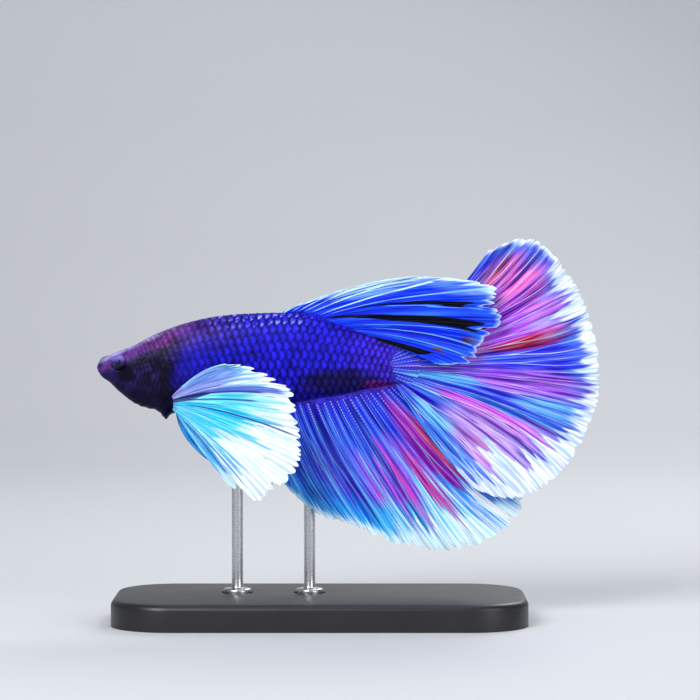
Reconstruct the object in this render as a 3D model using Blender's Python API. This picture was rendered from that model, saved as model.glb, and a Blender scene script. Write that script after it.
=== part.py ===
"""A life-size betta fish of the dumbo halfmoon kind, swimming, held by a plain display stand.

The fish looks towards -X, its left side faces -Y, and its back is up. The origin is the
middle of the stand's underside. Sizes are in millimetres, and each mesh is made in metres.
"""

import math

import bmesh
import bpy
import numpy as np

MM = 0.001
GAP = 0.3  # clear space that neighbouring solids keep

# Body outline at a few stations, from the snout to the tail root.
# Each row is x, height of the back, height of the belly, half of the width.
BODY_STATIONS = (
    (-33.30, 38.70, 37.50, 0.35),
    (-32.75, 39.62, 36.65, 0.95),
    (-31.50, 40.05, 35.75, 1.55),
    (-30.00, 40.65, 34.30, 2.05),
    (-27.50, 41.62, 32.50, 2.65),
    (-24.40, 43.20, 31.60, 3.15),
    (-20.25, 44.70, 31.20, 3.35),
    (-15.00, 45.80, 31.40, 3.30),
    (-9.00, 46.20, 32.20, 3.10),
    (-3.50, 46.05, 33.10, 2.75),
    (0.20, 45.10, 33.60, 2.45),
    (3.60, 44.15, 34.20, 2.15),
    (7.40, 42.90, 35.00, 1.65),
    (11.60, 41.00, 35.75, 1.05),
    (12.30, 40.40, 36.30, 0.60),
)
BODY_RINGS = 34
BODY_SIDES = 22
BEYOND_SIDES = 20.0  # further out than either side of the body
WIDEST_SHARE = 0.54  # height of the widest level, as a share of the body's depth
FULLNESS = 0.92  # under 1 makes a section fuller than an ellipse

# The edge of the gill membrane hangs below the throat.
FLAP_X = -23.15
FLAP_LENGTH = 0.75
FLAP_DROP = 1.15

# The joints between head, trunk and tail stalk are planes across the body.
HEAD_CUT_X = -21.7
HEAD_CUT_LEAN = 0.08
STALK_CUT_X = 6.5
CUT_LEVEL = 38.0

EYE = {"x": -30.08, "y": 1.22, "z": 38.85, "radius": 1.18}
GILL_COVER = {"x": -25.1, "z": 36.6, "half_length": 2.9, "half_height": 4.3, "inner_y": 1.6}
MOUTH_FRONT = (-34.0, 38.15)
MOUTH_CORNER = (-32.3, 37.75)
JAW_END = (-30.6, 34.9)
JAW_ROOM = 4.0

# A fin is a fan of rays, from its front ray to its last. A row holds a ray's root, the point
# that bends it and its tip. The rays in between lie on smooth curves through the rows.
# Dorsal and anal roots are given by x alone, because they follow the body's outline.
DORSAL_RAYS = (
    (-6.6, (4.6, 0.0, 51.4), (18.4, -0.6, 51.6)),
    (-5.2, (9.4, -0.2, 50.6), (25.8, -1.5, 50.6)),
    (-3.6, (11.0, -0.4, 49.3), (26.8, -1.9, 49.2)),
    (-2.0, (12.0, -0.6, 47.9), (26.9, -2.2, 47.2)),
    (-0.4, (12.8, -0.8, 46.4), (27.6, -2.3, 45.1)),
    (1.0, (13.2, -1.0, 45.0), (25.4, -2.3, 43.1)),
    (2.4, (13.4, -1.1, 43.6), (23.6, -2.2, 41.0)),
    (3.7, (13.6, -1.2, 42.2), (22.4, -2.1, 38.9)),
    (5.0, (11.8, -1.2, 41.7), (17.6, -1.7, 38.5)),
)
ANAL_RAYS = (
    (-13.5, (-11.2, 0.0, 26.4), (-6.4, 0.0, 22.6)),
    (-10.6, (-8.6, 0.0, 25.2), (-4.3, 0.0, 19.4)),
    (-7.8, (-5.2, 0.0, 24.2), (0.2, 0.0, 15.8)),
    (-4.9, (-1.7, 0.1, 23.4), (4.8, 0.0, 14.6)),
    (-2.1, (1.8, 0.2, 22.6), (9.6, 0.1, 12.2)),
    (0.7, (5.8, 0.2, 22.0), (14.6, 0.2, 10.9)),
    (3.4, (9.8, 0.3, 22.2), (19.4, 0.3, 10.1)),
    (6.0, (13.8, 0.4, 23.2), (24.4, 0.4, 11.4)),
    (8.2, (17.2, 0.7, 25.0), (28.6, 0.5, 14.8)),
    (10.0, (19.6, 1.1, 27.2), (30.7, 0.7, 18.6)),
    (11.2, (19.0, 2.0, 30.0), (28.0, 1.2, 22.6)),
)
PECTORAL_RAYS = (
    ((-21.5, 3.75, 34.2), (-18.0, 5.2, 38.3), (-14.1, 7.0, 38.9)),
    ((-21.4, 3.80, 33.9), (-16.0, 5.9, 37.9), (-10.3, 8.6, 38.6)),
    ((-21.3, 3.85, 33.6), (-14.4, 6.5, 36.9), (-6.4, 10.2, 36.9)),
    ((-21.2, 3.90, 33.3), (-13.2, 7.0, 35.4), (-3.7, 11.2, 34.6)),
    ((-21.1, 3.90, 33.0), (-12.6, 7.3, 33.6), (-3.1, 11.6, 31.4)),
    ((-21.0, 3.90, 32.7), (-12.6, 7.4, 31.9), (-2.7, 11.7, 28.3)),
    ((-21.0, 3.85, 32.4), (-13.0, 7.3, 30.3), (-2.9, 11.5, 25.2)),
    ((-21.0, 3.75, 32.1), (-13.9, 7.0, 28.9), (-4.4, 10.9, 22.2)),
    ((-21.1, 3.65, 31.8), (-15.2, 6.6, 28.0), (-6.9, 10.0, 20.2)),
    ((-21.2, 3.50, 31.6), (-16.1, 6.1, 27.6), (-9.1, 9.0, 18.4)),
    ((-21.3, 3.35, 31.4), (-16.9, 5.6, 27.8), (-11.8, 8.0, 20.8)),
)
LEFT_PELVIC_RAYS = (
    ((-21.7, -1.2, 30.3), (-20.0, -2.8, 28.3), (-12.9, -3.6, 19.8)),
    ((-21.2, -1.2, 30.3), (-18.9, -2.8, 28.6), (-12.0, -3.6, 20.1)),
    ((-20.7, -1.2, 30.3), (-17.8, -2.8, 28.8), (-11.7, -3.6, 21.0)),
)
RIGHT_PELVIC_RAYS = (
    ((-21.7, 1.2, 30.3), (-21.6, 2.4, 27.4), (-16.6, 3.2, 23.6)),
    ((-21.2, 1.2, 30.3), (-19.9, 2.4, 27.8), (-15.3, 3.2, 23.5)),
    ((-20.7, 1.2, 30.3), (-18.4, 2.4, 28.4), (-15.1, 3.2, 24.9)),
)

# The tail fin's rays spread from a centre inside the stalk. Each row is a tip's angle above
# the horizontal, its distance from the centre, how far it leans to the side, and the angle
# at which the ray sets off before it bends.
TAIL_CENTRE = (12.0, 38.25)
TAIL_ROOT_SET_BACK = 0.75
TAIL_ROOT_BULGE = 0.3
TAIL_ROOT_HEIGHT = 2.2  # half of the height that the roots take up
TAIL_BEND = 0.52  # where a ray bends, as a share of its length
TAIL_BEND_LEAN = 0.3  # how much of a tip's lean its bend has
TAIL_TIPS = (
    (52.5, 21.6, 1.6, 50.0),
    (45.5, 26.6, 1.5, 38.0),
    (37.0, 28.3, 1.2, 25.0),
    (22.0, 29.2, 0.8, 12.0),
    (5.0, 29.9, 0.2, 2.0),
    (-12.0, 30.0, -0.6, -6.0),
    (-28.0, 29.2, -1.5, -18.0),
    (-40.0, 28.0, -2.2, -34.0),
    (-51.0, 25.2, -2.5, -56.0),
    (-59.0, 21.0, -2.6, -71.0),
)

FIN_THICKNESS = 0.62
ROOT_GAP = 0.4  # between the body's outline and the fin roots along it
PLEAT_RISE = 1.3  # how late along a ray its pleat deepens

STAND = {"length": 62.0, "depth": 30.0, "thickness": 4.0, "corner": 9.0, "bevel": 0.7}
ROD_PLACES = {"stand_rod_front": (-12.5, 2.3), "stand_rod_rear": (-1.6, 2.2)}
ROD_RADIUS = 0.85
ROD_TOP = 34.9
FOOT_RADIUS = 2.1
FOOT_HEIGHT = 1.9
FOOT_SINK = 1.5  # depth of the seat that a rod's foot stands in
FOOT_BEVEL = 0.3


def clear_scene():
    for obj in list(bpy.data.objects):
        bpy.data.objects.remove(obj)


def paint(name, colour, roughness, metallic=0.0):
    material = bpy.data.materials.new(name)
    material.use_nodes = True
    shader = material.node_tree.nodes["Principled BSDF"]
    shader.inputs["Base Color"].default_value = (*colour, 1.0)
    shader.inputs["Roughness"].default_value = roughness
    shader.inputs["Metallic"].default_value = metallic
    return material


def add_object(name, bm, material=None):
    """A bmesh in millimetres becomes an object in metres, its faces pointing out."""
    bmesh.ops.recalc_face_normals(bm, faces=bm.faces)
    bmesh.ops.scale(bm, vec=(MM, MM, MM), verts=bm.verts)
    mesh = bpy.data.meshes.new(name)
    bm.to_mesh(mesh)
    bm.free()
    obj = bpy.data.objects.new(name, mesh)
    bpy.context.scene.collection.objects.link(obj)
    if material:
        mesh.materials.append(material)
    return obj


def helper(obj):
    """A cutter, which is no part of the model."""
    obj.hide_render = True
    obj.display_type = "WIRE"
    return obj


def combine(obj, other, operation):
    modifier = obj.modifiers.new(operation.lower(), "BOOLEAN")
    modifier.operation = operation
    modifier.solver = "EXACT"
    modifier.object = other
    graph = bpy.context.evaluated_depsgraph_get()
    mesh = bpy.data.meshes.new_from_object(obj.evaluated_get(graph))
    obj.modifiers.clear()
    obj.data = mesh


def smooth_shade(obj, degrees=40.0):
    obj.data.shade_smooth()
    obj.data.set_sharp_from_angle(angle=math.radians(degrees))


def smooth_row(rows, share):
    """A row on the smooth curve that runs through the rows, at a share of its length."""
    rows = np.array(rows, float)
    last = len(rows) - 1
    place = min(max(share, 0.0), 1.0) * last
    i = min(int(place), last - 1)
    f = place - i
    start, end = rows[i], rows[i + 1]
    before = rows[i - 1] if i > 0 else 2 * start - end
    after = rows[i + 2] if i + 2 <= last else 2 * end - start
    return (
        (2 * f**3 - 3 * f**2 + 1) * start
        + (f**3 - 2 * f**2 + f) * (end - before) / 2
        + (3 * f**2 - 2 * f**3) * end
        + (f**3 - f**2) * (after - start) / 2
    )


# ---- body ----


def outline_at(x):
    """The heights of the back and the belly at x."""
    low, high = 0.0, 1.0
    for _ in range(40):
        middle = (low + high) / 2
        if smooth_row(BODY_STATIONS, middle)[0] < x:
            low = middle
        else:
            high = middle
    return smooth_row(BODY_STATIONS, low)[1:3]


def body_ring(share, grow, flap):
    """One cross-section of the body: an oval, a little fuller than an ellipse."""
    x, back, belly, half_width = smooth_row(BODY_STATIONS, share)
    belly -= flap * FLAP_DROP * math.exp(-(((x - FLAP_X) / FLAP_LENGTH) ** 2))
    level = belly + WIDEST_SHARE * (back - belly)
    points = []
    for side in range(BODY_SIDES):
        angle = 2 * math.pi * side / BODY_SIDES
        across, up = math.cos(angle), math.sin(angle)
        y = math.copysign(abs(across) ** FULLNESS, across) * (half_width + grow)
        reach = (back - level if up > 0 else level - belly) + grow
        z = level + math.copysign(abs(up) ** FULLNESS, up) * reach
        points.append((x, y, z))
    return points


def add_body(name, grow=0.0, flap=True, material=None):
    bm = bmesh.new()
    rings = []
    for i in range(BODY_RINGS + 1):
        push = grow * ((i == BODY_RINGS) - (i == 0))
        ring = body_ring(i / BODY_RINGS, grow, flap)
        rings.append([bm.verts.new((x + push, y, z)) for x, y, z in ring])
    for ring, following in zip(rings, rings[1:]):
        for side in range(BODY_SIDES):
            after = (side + 1) % BODY_SIDES
            bm.faces.new((ring[side], ring[after], following[after], following[side]))
    bm.faces.new(rings[0])
    bm.faces.new(rings[-1])
    return add_object(name, bm, material)


def cut_across(obj, x, lean, keep_front):
    """Keeps one side of a plane across the body, which leans with height."""
    bm = bmesh.new()
    bm.from_mesh(obj.data)
    bmesh.ops.bisect_plane(
        bm,
        geom=bm.verts[:] + bm.edges[:] + bm.faces[:],
        plane_co=(x * MM, 0.0, CUT_LEVEL * MM),
        plane_no=(1.0, 0.0, lean),
        clear_outer=keep_front,
        clear_inner=not keep_front,
    )
    bmesh.ops.holes_fill(bm, edges=[e for e in bm.edges if e.is_boundary])
    bmesh.ops.recalc_face_normals(bm, faces=bm.faces)
    bm.to_mesh(obj.data)
    bm.free()


def prism(name, outline, y_low, y_high):
    """A cutter with an outline in x and z, run through from one y to another."""
    bm = bmesh.new()
    face = bm.faces.new([bm.verts.new((x, y_low, z)) for x, z in outline])
    made = bmesh.ops.extrude_face_region(bm, geom=[face])["geom"]
    moved = [part for part in made if isinstance(part, bmesh.types.BMVert)]
    bmesh.ops.translate(bm, vec=(0.0, y_high - y_low, 0.0), verts=moved)
    return helper(add_object(name, bm))


def ball(name, x, y, z, radius, material=None):
    bm = bmesh.new()
    bmesh.ops.create_uvsphere(bm, u_segments=14, v_segments=9, radius=radius)
    bmesh.ops.translate(bm, vec=(x, y, z), verts=bm.verts)
    return add_object(name, bm, material)


def jaw_outline(grow):
    front_x, front_z = MOUTH_FRONT
    corner_x, corner_z = MOUTH_CORNER
    end_x, end_z = JAW_END
    return (
        (front_x - grow, front_z + grow),
        (corner_x + grow, corner_z + grow),
        (end_x + grow, end_z),
        (end_x + grow, end_z - JAW_ROOM),
        (front_x - grow, end_z - JAW_ROOM),
    )


def gill_outline(grow):
    """An upright oval round the gill cover."""
    cover = GILL_COVER
    steps = 20
    points = []
    for i in range(steps):
        angle = 2 * math.pi * i / steps
        x = cover["x"] + (cover["half_length"] + grow) * math.cos(angle)
        z = cover["z"] + (cover["half_height"] + grow) * math.sin(angle)
        points.append((x, z))
    return points


def add_head(skin, eye_colour):
    head = add_body("head", material=skin)
    cut_across(head, HEAD_CUT_X - GAP, HEAD_CUT_LEAN, keep_front=True)

    jaw = add_body("lower_jaw", material=skin)
    jaw_shape = prism("jaw_shape", jaw_outline(0.0), -BEYOND_SIDES, BEYOND_SIDES)
    combine(jaw, jaw_shape, "INTERSECT")
    jaw_room = prism("jaw_room", jaw_outline(GAP), -BEYOND_SIDES, BEYOND_SIDES)
    combine(head, jaw_room, "DIFFERENCE")
    smooth_shade(jaw)

    inner = GILL_COVER["inner_y"]
    for side, sign in (("left", -1), ("right", 1)):
        cover = add_body("gill_cover_" + side, material=skin)
        cut_across(cover, HEAD_CUT_X - GAP, HEAD_CUT_LEAN, keep_front=True)
        low, high = sorted((sign * inner, sign * BEYOND_SIDES))
        combine(cover, prism("cover_shape_" + side, gill_outline(0.0), low, high), "INTERSECT")
        low, high = sorted((sign * (inner - GAP), sign * BEYOND_SIDES))
        combine(head, prism("cover_room_" + side, gill_outline(GAP), low, high), "DIFFERENCE")
        smooth_shade(cover)

        place = (EYE["x"], sign * EYE["y"], EYE["z"])
        smooth_shade(ball("eye_" + side, *place, EYE["radius"], eye_colour))
        socket = helper(ball("socket_" + side, *place, EYE["radius"] + GAP))
        combine(head, socket, "DIFFERENCE")
    smooth_shade(head)


def add_trunk(skin):
    trunk = add_body("trunk", flap=False, material=skin)
    cut_across(trunk, HEAD_CUT_X, HEAD_CUT_LEAN, keep_front=False)
    cut_across(trunk, STALK_CUT_X, 0.0, keep_front=True)
    stalk = add_body("tail_stalk", flap=False, material=skin)
    cut_across(stalk, STALK_CUT_X + GAP, 0.0, keep_front=False)
    for obj in (trunk, stalk):
        smooth_shade(obj)


# ---- fins ----


def dorsal_rays():
    """Roots a gap above the back."""
    return [((x, 0.0, outline_at(x)[0] + ROOT_GAP), bend, tip) for x, bend, tip in DORSAL_RAYS]


def anal_rays():
    """Roots a gap below the belly."""
    return [((x, 0.0, outline_at(x)[1] - ROOT_GAP), bend, tip) for x, bend, tip in ANAL_RAYS]


def tail_rays():
    """Roots on a shallow arc behind the stalk, tips on the fan's rim."""
    centre_x, centre_z = TAIL_CENTRE
    widest = max(abs(angle) for angle, _, _, _ in TAIL_TIPS)
    rays = []
    for angle, radius, y, start in TAIL_TIPS:
        up, out = math.sin(math.radians(angle)), math.cos(math.radians(angle))
        root_z = centre_z + TAIL_ROOT_HEIGHT * angle / widest
        root = (centre_x + TAIL_ROOT_SET_BACK + TAIL_ROOT_BULGE * out, 0.0, root_z)
        bend_x = centre_x + TAIL_BEND * radius * math.cos(math.radians(start))
        bend_z = centre_z + TAIL_BEND * radius * math.sin(math.radians(start))
        tip = (centre_x + radius * out, y, centre_z + radius * up)
        rays.append((root, (bend_x, TAIL_BEND_LEAN * y, bend_z), tip))
    return rays


def ray_point(rays, across, along):
    """A point of the fan: across from the front ray to the last, along from root to tip."""
    root, bend, tip = smooth_row(rays, across)
    return (1 - along) ** 2 * root + 2 * along * (1 - along) * bend + along**2 * tip


def add_fin(name, rays, tips, steps, depth, notch, material):
    """A pleated fan with a scalloped edge. Ray tips reach out, one on each crest and each
    hollow of the pleats, and the web between them draws in."""
    columns = 2 * tips
    front, back = [], []
    bm = bmesh.new()
    for i in range(columns + 1):
        across = i / columns
        reach = 1.0 - (notch if i % 2 else 0.0)
        for sheet, side in ((front, -0.5), (back, 0.5)):
            column = []
            for j in range(steps + 1):
                along = reach * j / steps
                x, y, z = ray_point(rays, across, along)
                y += depth * along**PLEAT_RISE * math.cos(math.pi * tips * across)
                column.append(bm.verts.new((x, y + side * FIN_THICKNESS, z)))
            sheet.append(column)
    for sheet in (front, back):
        for column, following in zip(sheet, sheet[1:]):
            for j in range(steps):
                bm.faces.new((column[j], following[j], following[j + 1], column[j + 1]))
    bmesh.ops.bridge_loops(bm, edges=[e for e in bm.edges if e.is_boundary])
    smooth_shade(add_object(name, bm, material), 50.0)


def left_of(rays):
    return [[(x, -y, z) for x, y, z in ray] for ray in rays]


def add_fins(blue, pale):
    add_fin("dorsal_fin", dorsal_rays(), 14, 7, 0.26, 0.03, blue)
    add_fin("tail_fin", tail_rays(), 26, 7, 0.45, 0.03, blue)
    add_fin("anal_fin", anal_rays(), 20, 7, 0.28, 0.04, blue)
    add_fin("pectoral_fin_left", left_of(PECTORAL_RAYS), 12, 6, -0.35, 0.04, pale)
    add_fin("pectoral_fin_right", PECTORAL_RAYS, 12, 6, 0.35, 0.04, pale)
    add_fin("pelvic_fin_left", LEFT_PELVIC_RAYS, 2, 7, 0.10, 0.05, pale)
    add_fin("pelvic_fin_right", RIGHT_PELVIC_RAYS, 2, 7, 0.10, 0.05, blue)


# ---- stand ----


def base_outline():
    """A rectangle with round corners."""
    steps = 6
    radius = STAND["corner"]
    points = []
    for quarter in range(4):
        turn = math.pi / 2 * quarter
        side_x = 1 if quarter in (0, 3) else -1
        side_y = 1 if quarter in (0, 1) else -1
        for i in range(steps + 1):
            angle = turn + math.pi / 2 * i / steps
            x = side_x * (STAND["length"] / 2 - radius) + radius * math.cos(angle)
            y = side_y * (STAND["depth"] / 2 - radius) + radius * math.sin(angle)
            points.append((x, y))
    return points


def turned(name, x, y, profile, material=None):
    """A profile of radius and height, spun round an upright axis at x and y."""
    steps = 18
    bm = bmesh.new()
    verts = [bm.verts.new((x + radius, y, z)) for radius, z in profile]
    edges = [bm.edges.new(pair) for pair in zip(verts, verts[1:])]
    axis = {"cent": (x, y, 0.0), "axis": (0.0, 0.0, 1.0), "angle": 2 * math.pi}
    bmesh.ops.spin(bm, geom=verts + edges, steps=steps, use_merge=True, **axis)
    bmesh.ops.remove_doubles(bm, verts=bm.verts, dist=0.001)
    return add_object(name, bm, material)


def add_stand(black, metal):
    top = STAND["thickness"]
    bm = bmesh.new()
    face = bm.faces.new([bm.verts.new((x, y, 0.0)) for x, y in base_outline()])
    made = bmesh.ops.extrude_face_region(bm, geom=[face])["geom"]
    moved = [part for part in made if isinstance(part, bmesh.types.BMVert)]
    bmesh.ops.translate(bm, vec=(0.0, 0.0, top), verts=moved)
    rim = [e for e in bm.edges if all(v.co.z > top - 0.01 for v in e.verts)]
    bmesh.ops.bevel(bm, geom=rim, offset=STAND["bevel"], segments=2, profile=0.5, affect="EDGES")
    base = add_object("stand_base", bm, black)

    room = helper(add_body("body_room", grow=GAP, flap=False))
    floor = top - FOOT_SINK
    for name, (x, y) in ROD_PLACES.items():
        wide = FOOT_RADIUS + GAP
        seat = ((0.0, floor), (wide, floor), (wide, top + 1.0), (0.0, top + 1.0))
        combine(base, helper(turned("seat_" + name, x, y, seat)), "DIFFERENCE")
        bottom = floor + GAP
        profile = (
            (0.0, bottom),
            (FOOT_RADIUS, bottom),
            (FOOT_RADIUS, bottom + FOOT_HEIGHT - FOOT_BEVEL),
            (FOOT_RADIUS - FOOT_BEVEL, bottom + FOOT_HEIGHT),
            (ROD_RADIUS, bottom + FOOT_HEIGHT),
            (ROD_RADIUS, ROD_TOP),
            (0.0, ROD_TOP),
        )
        rod = turned(name, x, y, profile, metal)
        combine(rod, room, "DIFFERENCE")
        smooth_shade(rod)
    smooth_shade(base)


def main():
    clear_scene()
    scaled_skin = paint("scaled_skin", (0.03, 0.03, 0.55), 0.35)
    head_skin = paint("head_skin", (0.05, 0.02, 0.08), 0.4)
    eye_colour = paint("eye", (0.02, 0.015, 0.05), 0.05)
    blue = paint("blue_fin", (0.03, 0.08, 0.85), 0.35)
    pale = paint("pale_fin", (0.65, 0.9, 1.0), 0.4)
    black = paint("stand_black", (0.03, 0.03, 0.035), 0.45)
    metal = paint("rod_metal", (0.6, 0.6, 0.62), 0.3, 1.0)
    add_head(head_skin, eye_colour)
    add_trunk(scaled_skin)
    add_fins(blue, pale)
    add_stand(black, metal)


main()
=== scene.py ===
import math

import bpy
import numpy as np
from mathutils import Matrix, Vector


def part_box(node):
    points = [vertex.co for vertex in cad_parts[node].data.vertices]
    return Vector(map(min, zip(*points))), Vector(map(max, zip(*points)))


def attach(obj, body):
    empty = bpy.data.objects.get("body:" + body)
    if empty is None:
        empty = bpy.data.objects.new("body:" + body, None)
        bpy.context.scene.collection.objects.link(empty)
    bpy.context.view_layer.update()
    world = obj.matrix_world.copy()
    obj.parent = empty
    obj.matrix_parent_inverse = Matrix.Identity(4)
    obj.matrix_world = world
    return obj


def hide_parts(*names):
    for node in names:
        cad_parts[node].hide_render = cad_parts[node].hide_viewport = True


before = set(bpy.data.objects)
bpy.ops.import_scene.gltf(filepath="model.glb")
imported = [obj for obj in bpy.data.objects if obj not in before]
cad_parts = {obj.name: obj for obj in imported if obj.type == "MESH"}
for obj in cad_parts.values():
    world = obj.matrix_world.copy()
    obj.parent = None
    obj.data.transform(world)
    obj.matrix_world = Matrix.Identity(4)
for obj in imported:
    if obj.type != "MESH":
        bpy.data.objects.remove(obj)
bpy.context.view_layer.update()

scene = bpy.context.scene
mm = 0.001


# small helpers used all over

def smooth(value, low, high):
    t = np.clip((np.asarray(value, float) - low) / (high - low), 0, 1)
    return t * t * (3 - 2 * t)


def hill(offset, width):
    # 1 where the offset is 0, falling away on both sides
    return np.exp(-((offset / width) ** 2))


def unit(vector):
    return vector / (np.linalg.norm(vector) + 1e-9)


def curveRow(rows, share):
    # a point on the smooth curve through the rows, share runs 0 to 1 (works on arrays)
    rows = np.array(rows, float)
    last = len(rows) - 1
    place = np.clip(np.atleast_1d(share), 0, 1) * last
    i = np.minimum(place.astype(int), last - 1)
    f = (place - i).reshape((-1,) + (1,) * (rows.ndim - 1))
    padded = np.concatenate([[2 * rows[0] - rows[1]], rows, [2 * rows[-1] - rows[-2]]])
    before, start, end, after = padded[i], padded[i + 1], padded[i + 2], padded[i + 3]
    return ((2 * f**3 - 3 * f**2 + 1) * start + (f**3 - 2 * f**2 + f) * (end - before) / 2
            + (3 * f**2 - 2 * f**3) * end + (f**3 - f**2) * (after - start) / 2)


def setMode(mode):
    bpy.ops.object.mode_set(mode=mode)


def deselect():
    if bpy.context.mode != "OBJECT":
        setMode("OBJECT")
    bpy.ops.object.select_all(action="DESELECT")


def pick(obj):
    deselect()
    obj.select_set(True)
    bpy.context.view_layer.objects.active = obj


def takeNew(name):
    obj = bpy.context.active_object
    obj.name = name
    obj.data.name = name
    return obj


def addGrid(name, columns, rows):
    deselect()
    bpy.ops.mesh.primitive_grid_add(x_subdivisions=columns, y_subdivisions=rows, size=1.0,
                                    calc_uvs=True)
    return takeNew(name)


def fromLists(name, points, edges, faces):
    mesh = bpy.data.meshes.new(name)
    mesh.from_pydata(points, edges, faces)
    obj = bpy.data.objects.new(name, mesh)
    scene.collection.objects.link(obj)
    return obj


def applyPlace(obj):
    pick(obj)
    bpy.ops.object.transform_apply(location=True, rotation=True, scale=True)


def applyModifiers(obj):
    pick(obj)
    for modifier in list(obj.modifiers):
        bpy.ops.object.modifier_apply(modifier=modifier.name)


def getPoints(obj):
    return np.array([v.co for v in obj.data.vertices])


def setPoints(obj, points, unitLength=mm):
    obj.data.vertices.foreach_set("co", (np.asarray(points, float) * unitLength).ravel())
    obj.data.update()


def outside(obj):
    # faces all point outwards
    pick(obj)
    setMode("EDIT")
    bpy.ops.mesh.select_all(action="SELECT")
    bpy.ops.mesh.normals_make_consistent(inside=False)
    setMode("OBJECT")


def smoothShade(obj, degrees=None):
    pick(obj)
    if degrees:
        bpy.ops.object.shade_smooth_by_angle(angle=math.radians(degrees))
    else:
        bpy.ops.object.shade_smooth()


def settle(obj, nodes, material):
    # what every finished piece needs
    obj.data.materials.clear()
    obj.data.materials.append(material)
    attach(obj, "root")
    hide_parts(*nodes)
    return obj


# shader helpers: new nodes go into the tree that their sockets belong to

def isSocket(value):
    return isinstance(value, bpy.types.NodeSocket)


def screenColor(value):
    # three numbers are a screen colour, 0 to 255, made into the linear one that shaders take
    if isSocket(value) or len(value) != 3:
        return value
    parts = [c / 255 for c in value]
    return [c / 12.92 if c < 0.04045 else ((c + 0.055) / 1.055) ** 2.4 for c in parts] + [1.0]


def feed(node, inputs):
    # sockets are linked, plain values are set
    for key, value in inputs.items():
        if isSocket(value):
            node.id_data.links.new(value, node.inputs[key])
        else:
            node.inputs[key].default_value = value
    return node


def addNode(kind, inputs, tree=None, **settings):
    tree = tree or next(v.id_data for v in inputs.values() if isSocket(v))
    new = tree.nodes.new(kind)
    for key, value in settings.items():
        setattr(new, key, value)
    return feed(new, inputs)


def calc(operation, *values, clamp=False):
    inputs = dict(enumerate(values))
    return addNode("ShaderNodeMath", inputs, operation=operation, use_clamp=clamp).outputs[0]


def times(first, *others):
    for value in others:
        first = calc("MULTIPLY", first, value)
    return first


def plus(first, second):
    return calc("ADD", first, second)


def minus(first, second):
    return calc("SUBTRACT", first, second)


def over(first, second):
    return calc("DIVIDE", first, second)


def scaled(value, factor, shift):
    return calc("MULTIPLY_ADD", value, factor, shift)


def fade(value, low, high, start=0.0, end=1.0):
    # smooth step from start to end as value goes from low to high
    inputs = {"Value": value, "From Min": low, "From Max": high, "To Min": start, "To Max": end}
    return addNode("ShaderNodeMapRange", inputs, interpolation_type="SMOOTHSTEP").outputs[0]


def mixColor(amount, first, second, blend="MIX"):
    inputs = {0: amount, 6: screenColor(first), 7: screenColor(second)}
    return addNode("ShaderNodeMix", inputs, data_type="RGBA", blend_type=blend).outputs[2]


def lay(color, paint, *amounts):
    # the colour with paint over it, by all the amounts multiplied together
    return mixColor(times(*amounts), color, paint)


def splitXyz(vector):
    return addNode("ShaderNodeSeparateXYZ", {0: vector}).outputs


def joinXyz(x, y, z=0.0):
    return addNode("ShaderNodeCombineXYZ", {0: x, 1: y, 2: z}).outputs[0]


def noise(vector, scale, detail=2.0, rough=0.5):
    inputs = {"Vector": vector, "Scale": scale, "Detail": detail, "Roughness": rough}
    return addNode("ShaderNodeTexNoise", inputs).outputs["Fac"]


def squares(x, y):
    return plus(times(x, x), times(y, y))


def blob(x, y, centre, size):
    # 1 at the centre, fading to 0 at the oval's edge
    dx, dy = (over(minus(value, middle), half)
              for value, middle, half in ((x, centre[0], size[0]), (y, centre[1], size[1])))
    return fade(squares(dx, dy), 0.15, 1.0, 1.0, 0.0)


def newGroup(name, inputs, outputs):
    group = bpy.data.node_groups.new(name, "ShaderNodeTree")
    for label, kind, value in inputs:
        socket = group.interface.new_socket(label, in_out="INPUT", socket_type="NodeSocket" + kind)
        if value is not None:
            socket.default_value = value
    for label, kind in outputs:
        group.interface.new_socket(label, in_out="OUTPUT", socket_type="NodeSocket" + kind)
    return group.nodes.new("NodeGroupInput").outputs, group.nodes.new("NodeGroupOutput")


def useGroup(name, inputs):
    return addNode("ShaderNodeGroup", inputs, node_tree=bpy.data.node_groups[name]).outputs


def newMaterial(name):
    material = bpy.data.materials.new(name)
    material.use_nodes = True
    return material, material.node_tree.nodes["Principled BSDF"]


def objectPlace(shader):
    return addNode("ShaderNodeTexCoord", {}, shader.id_data).outputs["Object"]


def readUv(shader, name):
    return addNode("ShaderNodeUVMap", {}, shader.id_data, uv_map=name).outputs[0]


def addBump(shader, height, strength, distance):
    inputs = {"Height": height, "Strength": strength, "Distance": distance}
    feed(shader, {"Normal": addNode("ShaderNodeBump", inputs).outputs[0]})


# camera first: level with the fish, a long lens, looking a little down

cameraValues = {
    "target": (4.5, 0.0, 40.7),
    "distance": 460.0,
    "width": 105.0,
    "downTilt": 2.0,
}


def makeCamera():
    c = cameraValues
    tilt = math.radians(c["downTilt"])
    away = Vector((0, -math.cos(tilt), math.sin(tilt))) * c["distance"]
    bpy.ops.object.camera_add(location=(Vector(c["target"]) + away) * mm,
                              rotation=(math.pi / 2 - tilt, 0, 0))
    camera = takeNew("camera")
    camera.data.sensor_width = 36
    camera.data.lens = 36 * c["distance"] / c["width"]
    camera.data.clip_start = 0.01
    camera.data.clip_end = 20
    camera.data.dof.use_dof = False
    scene.camera = camera


# the body: one row per station is x, back height, belly height, half width

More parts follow.
